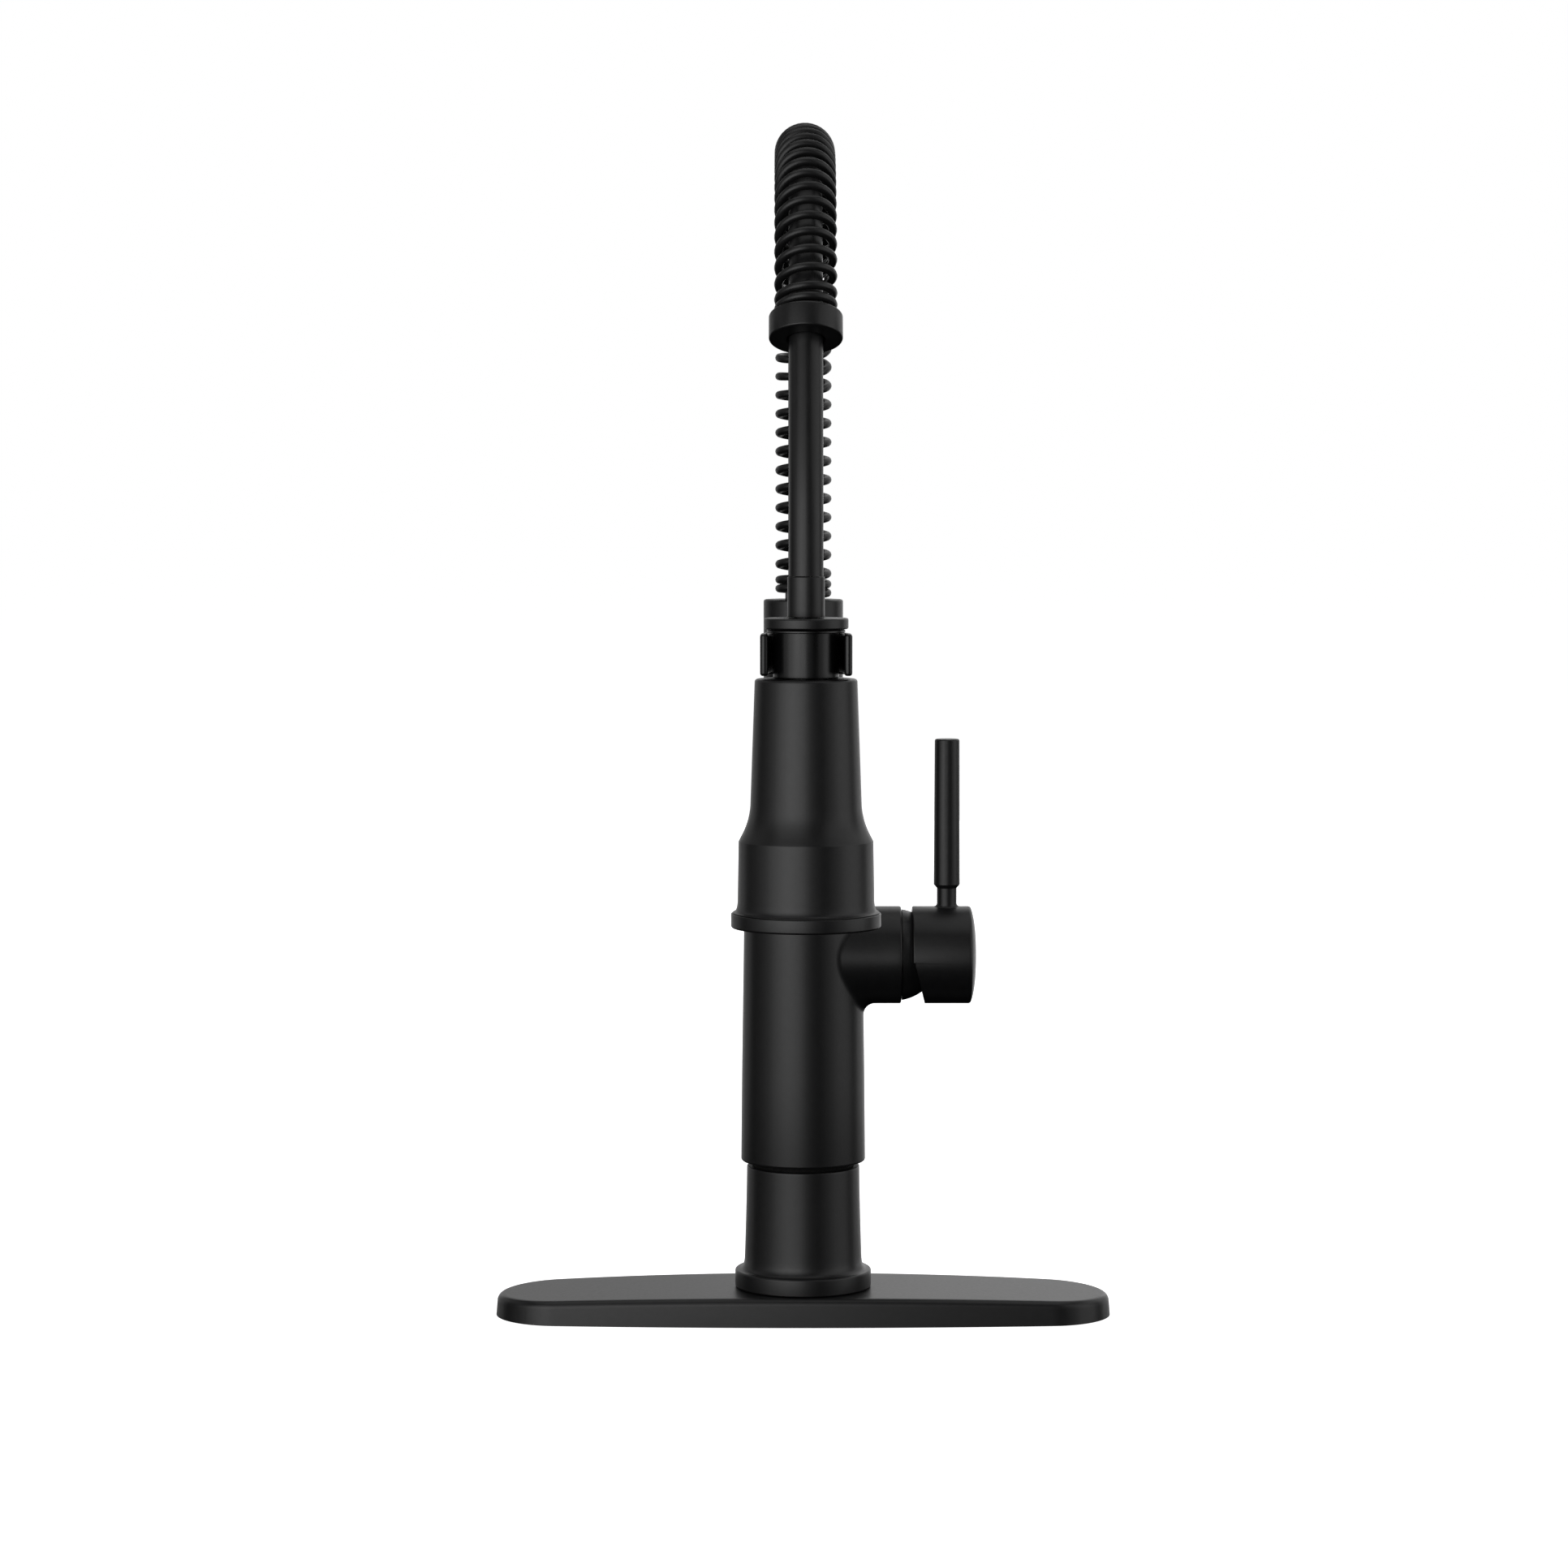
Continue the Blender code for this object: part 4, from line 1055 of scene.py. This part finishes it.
def make_hose():
    """Two pieces that meet inside the collar: one rides with the spout, the other runs on down to the wand's
    ferrule and rides on no body.
    """
    loops = hose_loops()
    split = len(loops) - HOSE_FREE_RINGS
    upper = new_object("arch_hose", skinned(loops[: split + 1], closed=False, caps=True))
    finish(upper, "hose_black", "spout", ["spray_hose"], 50)

    lower = new_object("wand_hose", skinned(loops[split:], closed=False, caps=True))
    shade(lower, "hose_black", 50)
    y, z, _ = collar_end()
    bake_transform(lower)
    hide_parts("spray_hose")


# ---------------- spray wand

NECK_FLANGE_RADIUS = 14.4  # thin flange between the clip and the disc
NECK_FLANGE_THICK = 1.0
NECK_SPIGOT_RADIUS = 8.5
WATERWAY_RADIUS = 5.0
WATERWAY_FLOOR = 281.6  # below it the waterway is narrower
OUTLET_RADIUS = 3.4
FERRULE_STEM_RADIUS = 4.6
FERRULE_SHOULDER = 302.2
SHOULDER_HEIGHT = 219.8
CASING_SINK = 0.15  # how far the casing's foot reaches below the CAD shell's
BUTTON_EDGE = 1.2
BUTTON_HALF_WIDTH = 6.0
BUTTON_HALF_HEIGHT = 11.0
BUTTON_STEPS = 24
BUTTON_GAP = 0.4
FACE_BORE = 8.3
AERATOR_BORE = 6.4
NOZZLE_RINGS = ((11.6, 12), (14.6, 18), (17.4, 24))  # (radius, nozzles)


def wand_piece(name, bm, slot, node, body="wand"):
    """A piece on the wand's axis that stands for one CAD node."""
    piece(name, bm, slot, body, [node], at(0, -REACH, 0))


def make_wand_top():
    radius, low, high = extent("hose_ferrule")
    ferrule = [
        (0, low, 0),
        (FERRULE_STEM_RADIUS, low, 0.4),
        (FERRULE_STEM_RADIUS, FERRULE_SHOULDER, 0),
        (radius, FERRULE_SHOULDER, 0.2),
        (radius, high, 0.3),
        (0, high, 0),
    ]
    wand_piece("hose_end_ferrule", turned(ferrule, MIDDLE_SIDES), "matte_black", "hose_ferrule", "hose_end")

    radius, low, high = extent("flange_disc")
    disc = tube(radius, WATERWAY_RADIUS, low, high, 0.7)
    wand_piece("wand_flange", turned(disc), "matte_black", "flange_disc")

    radius, low, high = extent("wand_neck")
    shell_top = extent("wand_shell")[2]
    neck = [
        (WATERWAY_RADIUS, WATERWAY_FLOOR, 0),
        (WATERWAY_RADIUS, high, 0),
        (NECK_FLANGE_RADIUS, high, 0.3),
        (NECK_FLANGE_RADIUS, high - NECK_FLANGE_THICK, 0.3),
        (radius, high - NECK_FLANGE_THICK, 0.1),
        (radius, shell_top + 0.3, 0.5),
        (NECK_SPIGOT_RADIUS, shell_top + 0.3, 0),
        (NECK_SPIGOT_RADIUS, low, 0.4),
        (OUTLET_RADIUS, low, 0),
        (OUTLET_RADIUS, WATERWAY_FLOOR, 0),
    ]
    wand_piece("wand_collar", turned(neck), "gloss_black", "wand_neck")


def make_wand_shell():
    _, low, high = extent("wand_shell")
    low -= CASING_SINK
    outer = [(23.0, low, 0), (27.2, low, 0.1)]
    outer += bend((26.85, low + 0.3), (25.9, low + 0.55), (25.4, low + 1.4), (25.2, low + 4.2), 12)
    outer += [(24.85, SHOULDER_HEIGHT, 0.8)]
    outer += bend((24.3, SHOULDER_HEIGHT + 1.1), (22.3, 224.6), (20.85, 228.2), (20.5, 233.0), 16)
    outer += [(18.85, high, 1.1), (8.8, high, 0.3), (8.8, high - 4, 0), (16.6, high - 4, 0)]
    outer += [(18.2, 234.0, 0), (22.4, 218.0, 0)]
    shell = new_object("wand_casing", turned(outer), at(0, -REACH, 0))
    cut(shell, extruded(button_outline(BUTTON_GAP), 12.0, 30.0), button_place())
    finish(shell, "matte_black", "wand", ["wand_shell"])

    radius, low, high = extent("bell_rim")
    rim = [(22.2, low, 0), (radius, low, 0.8), (radius, high, 0.4), (22.2, high, 0)]
    wand_piece("bell_ring", turned(rim), "matte_black", "bell_rim")


def make_spray_face():
    radius, low, high = extent("spray_face")
    face = [
        (FACE_BORE, low, 0.2),
        (9.6, low, 0.2),
        (9.6, low + 2.2, 0),
        (19.4, low + 2.2, 0),
        (19.4, low, 0.2),
        (radius, low, 0.5),
        (radius, high, 0),
        (FACE_BORE, high, 0),
    ]
    wand_piece("face_plate", turned(face), "dark_plastic", "spray_face")

    radius, low, high = extent("nozzle_pad")
    parts = [turned([(9.9, low + 0.6, 0.2), (radius, low + 0.6, 0.2), (radius, high, 0), (9.9, high, 0)])]
    nub = [(0, low - 0.55, 0), (0.42, low - 0.55, 0.1), (0.85, low + 0.7, 0), (0, low + 0.7, 0)]
    for away, count in NOZZLE_RINGS:
        for i in range(count):
            angle = math.tau * (i + 0.5) / count
            tip = turned(nub, 16)
            bmesh.ops.translate(tip, vec=(away * math.cos(angle), away * math.sin(angle), 0), verts=tip.verts)
            parts.append(tip)
    wand_piece("nozzle_ring", merged(*parts), "grey_rubber", "nozzle_pad")

    radius, low, high = extent("aerator")
    housing = [
        (AERATOR_BORE, low, 0.3),
        (radius, low, 0.4),
        (radius, high, 0),
        (0, high, 0),
        (0, low + 2.4, 0),
        (AERATOR_BORE, low + 2.4, 0),
    ]
    parts = [turned(housing, MIDDLE_SIDES)]
    for i in range(-4, 5):
        offset = i * 1.4
        reach = math.sqrt((AERATOR_BORE + 0.1) ** 2 - offset**2)
        parts.append(boxed((offset - 0.12, -reach, low + 1.1), (offset + 0.12, reach, low + 1.35)))
        parts.append(boxed((-reach, offset - 0.12, low + 0.8), (reach, offset + 0.12, low + 1.05)))
    wand_piece("aerator_insert", merged(*parts), "steel", "aerator")


def button_outline(clear):
    """(point, outward) pairs of the button's upright oval, with its straight sides along local Y."""
    half_width, half_height = BUTTON_HALF_WIDTH + clear, BUTTON_HALF_HEIGHT + clear
    return with_opposite(arc_pairs((0, half_height - half_width), half_width, 0, math.pi, BUTTON_STEPS))


def button_place():
    """The button's own Z axis points back along +Y from the wand's axis."""
    low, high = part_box("spray_button")
    return along_y(0, -REACH, (low.z + high.z) / 2 / MM)


def make_button():
    low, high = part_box("spray_button")
    inner, outer = low.y / MM + REACH, high.y / MM + REACH
    button = extruded(button_outline(0), inner, outer, BUTTON_EDGE)
    button = new_object("press_button", button, button_place())
    for i in range(-2, 3):
        groove = boxed((-3.6, i * 2.2 - 0.35, outer - 0.35), (3.6, i * 2.2 + 0.35, outer + 2))
        cut(button, groove, button_place())
    finish(button, "gloss_black", "button", ["spray_button"], 30)


# ---------------- materials of the pieces that stay

def paint_inner_pieces():
    """The CAD pieces that stay get the finish of their slot."""
    slots = {row["node"]: row["material_slot"] for row in frame["record"]["subparts"]}
    for name, obj in frame["nodes"].items():
        obj.data.materials.clear()
        obj.data.materials.append(LOOKS[slots[name]])


# ---------------- studio

SOFTBOX_DISTANCE = 2.6
SOFTBOX_STEP = 20  # degrees that one softbox covers
SOFTBOX_AIM = 0.45  # greatest height that they point at
LOW_BAND = (0.4, 1.7)  # height of a softbox's middle and how tall it is, in metres
HIGH_BAND = (1.95, 1.4)

# name, azimuth and span in degrees (0 is the camera's side, + its right), band, radiance
SOFTBOXES = (
    ("key_left", -50, 20, LOW_BAND, 1.4),
    ("key_middle", -30, 20, LOW_BAND, 2.15),
    ("key_right", -10, 20, LOW_BAND, 1.75),
    ("key_high", -30, 60, HIGH_BAND, 0.75),
    ("front_fill", 10, 20, LOW_BAND, 0.2),
    ("right_front", 50, 20, LOW_BAND, 0.4),
    ("right_middle", 70, 20, LOW_BAND, 0.95),
    ("right_rear", 90, 20, LOW_BAND, 0.85),
    ("right_high", 100, 120, HIGH_BAND, 0.65),
    ("right_behind", 130, 20, LOW_BAND, 0.75),
    ("right_edge", 154, 20, LOW_BAND, 0.8),
    ("back_right", 170, 20, LOW_BAND, 0.9),
    ("back_left", -170, 20, LOW_BAND, 0.6),
    ("back_high_right", 170, 20, HIGH_BAND, 0.85),
    ("back_high_left", -170, 20, HIGH_BAND, 0.55),
    ("left_edge", -154, 20, LOW_BAND, 0.5),
    ("left_behind", -130, 20, LOW_BAND, 0.4),
    ("left_side", -90, 20, LOW_BAND, 0.15),
    ("left_fill", -70, 20, LOW_BAND, 0.42),
    ("left_high", -110, 60, HIGH_BAND, 0.25),
)
TOP_SOFTBOX = (3.0, 3.0, 0.6)  # height, side and radiance
FLOOR_RADIUS = 20000
FLOOR_HEIGHT = -0.2  # just below the deck plate


def area_light(name, place, aim, width, tall, radiance):
    """A softbox of this radiance over its whole face, which the camera doesn't see."""
    light = bpy.data.lights.new(name, "AREA")
    light.shape = "RECTANGLE"
    light.size = width
    light.size_y = tall
    light.energy = radiance * math.pi * width * tall
    obj = bpy.data.objects.new(name, light)
    bpy.context.scene.collection.objects.link(obj)
    obj.location = place
    obj.rotation_euler = (Vector(aim) - Vector(place)).to_track_quat("-Z", "Y").to_euler()
    obj.visible_camera = False


def make_lights():
    """Softboxes all round: a bright one left of the camera, weaker ones on the right and behind."""
    for name, azimuth, span, (height, tall), radiance in SOFTBOXES:
        count = span // SOFTBOX_STEP
        for i in range(count):
            angle = math.radians(azimuth + SOFTBOX_STEP * (i - (count - 1) / 2))
            place = (math.sin(angle) * SOFTBOX_DISTANCE, -math.cos(angle) * SOFTBOX_DISTANCE, height)
            width = 2 * SOFTBOX_DISTANCE * math.tan(math.radians(SOFTBOX_STEP / 2))
            area_light(f"{name}_{i}", place, (0, 0, min(height, SOFTBOX_AIM)), width, tall, radiance)
    height, side, radiance = TOP_SOFTBOX
    area_light("top", (0, 0, height), (0, 0, 0), side, side, radiance)


def make_world():
    """White to the camera and dark to everything else, as a studio with the softboxes alone."""
    world = bpy.data.worlds.new("studio")
    bpy.context.scene.world = world
    world.use_nodes = True
    world.node_tree.nodes["Background"].inputs["Color"].default_value = (1, 1, 1, 1)
    for ray in ("diffuse", "glossy", "transmission", "scatter"):
        setattr(world.cycles_visibility, ray, False)


def make_floor():
    """A plain pale floor, which throws no light back on the object."""
    bm = bmesh.new()
    bmesh.ops.create_circle(bm, cap_ends=True, segments=96, radius=FLOOR_RADIUS)
    floor = new_object("floor", bm, at(0, 0, FLOOR_HEIGHT))
    look = bpy.data.materials.new("pale_floor")
    look.use_nodes = True
    shader = look.node_tree.nodes["Principled BSDF"]
    shader.inputs["Base Color"].default_value = (0.9, 0.9, 0.9, 1)
    shader.inputs["Emission Color"].default_value = (1, 1, 1, 1)
    shader.inputs["Emission Strength"].default_value = 1.0
    floor.data.materials.append(look)
    for ray in ("diffuse", "glossy", "transmission", "shadow"):
        setattr(floor, f"visible_{ray}", False)


def make_studio():
    make_world()
    make_floor()
    make_lights()
    bpy.context.scene.view_settings.view_transform = "Standard"


def make_camera():
    camera = bpy.data.cameras.new("camera")
    camera.lens = CAMERA_LENS
    camera.sensor_width = 36
    camera.clip_start = 0.05
    obj = bpy.data.objects.new("camera", camera)
    bpy.context.scene.collection.objects.link(obj)
    obj.location = CAMERA_PLACE
    obj.rotation_euler = (math.radians(90 - CAMERA_PITCH_DEGREES), 0, 0)
    bpy.context.scene.camera = obj


make_camera()
make_studio()
paint_inner_pieces()
make_deck()
make_mounting()
make_base()
make_sleeve()
make_dome()
make_cap()
make_lever()
make_column()
make_arm()
make_clip()
make_spring()
make_collar()
make_hose()
make_wand_top()
make_wand_shell()
make_spray_face()
make_button()
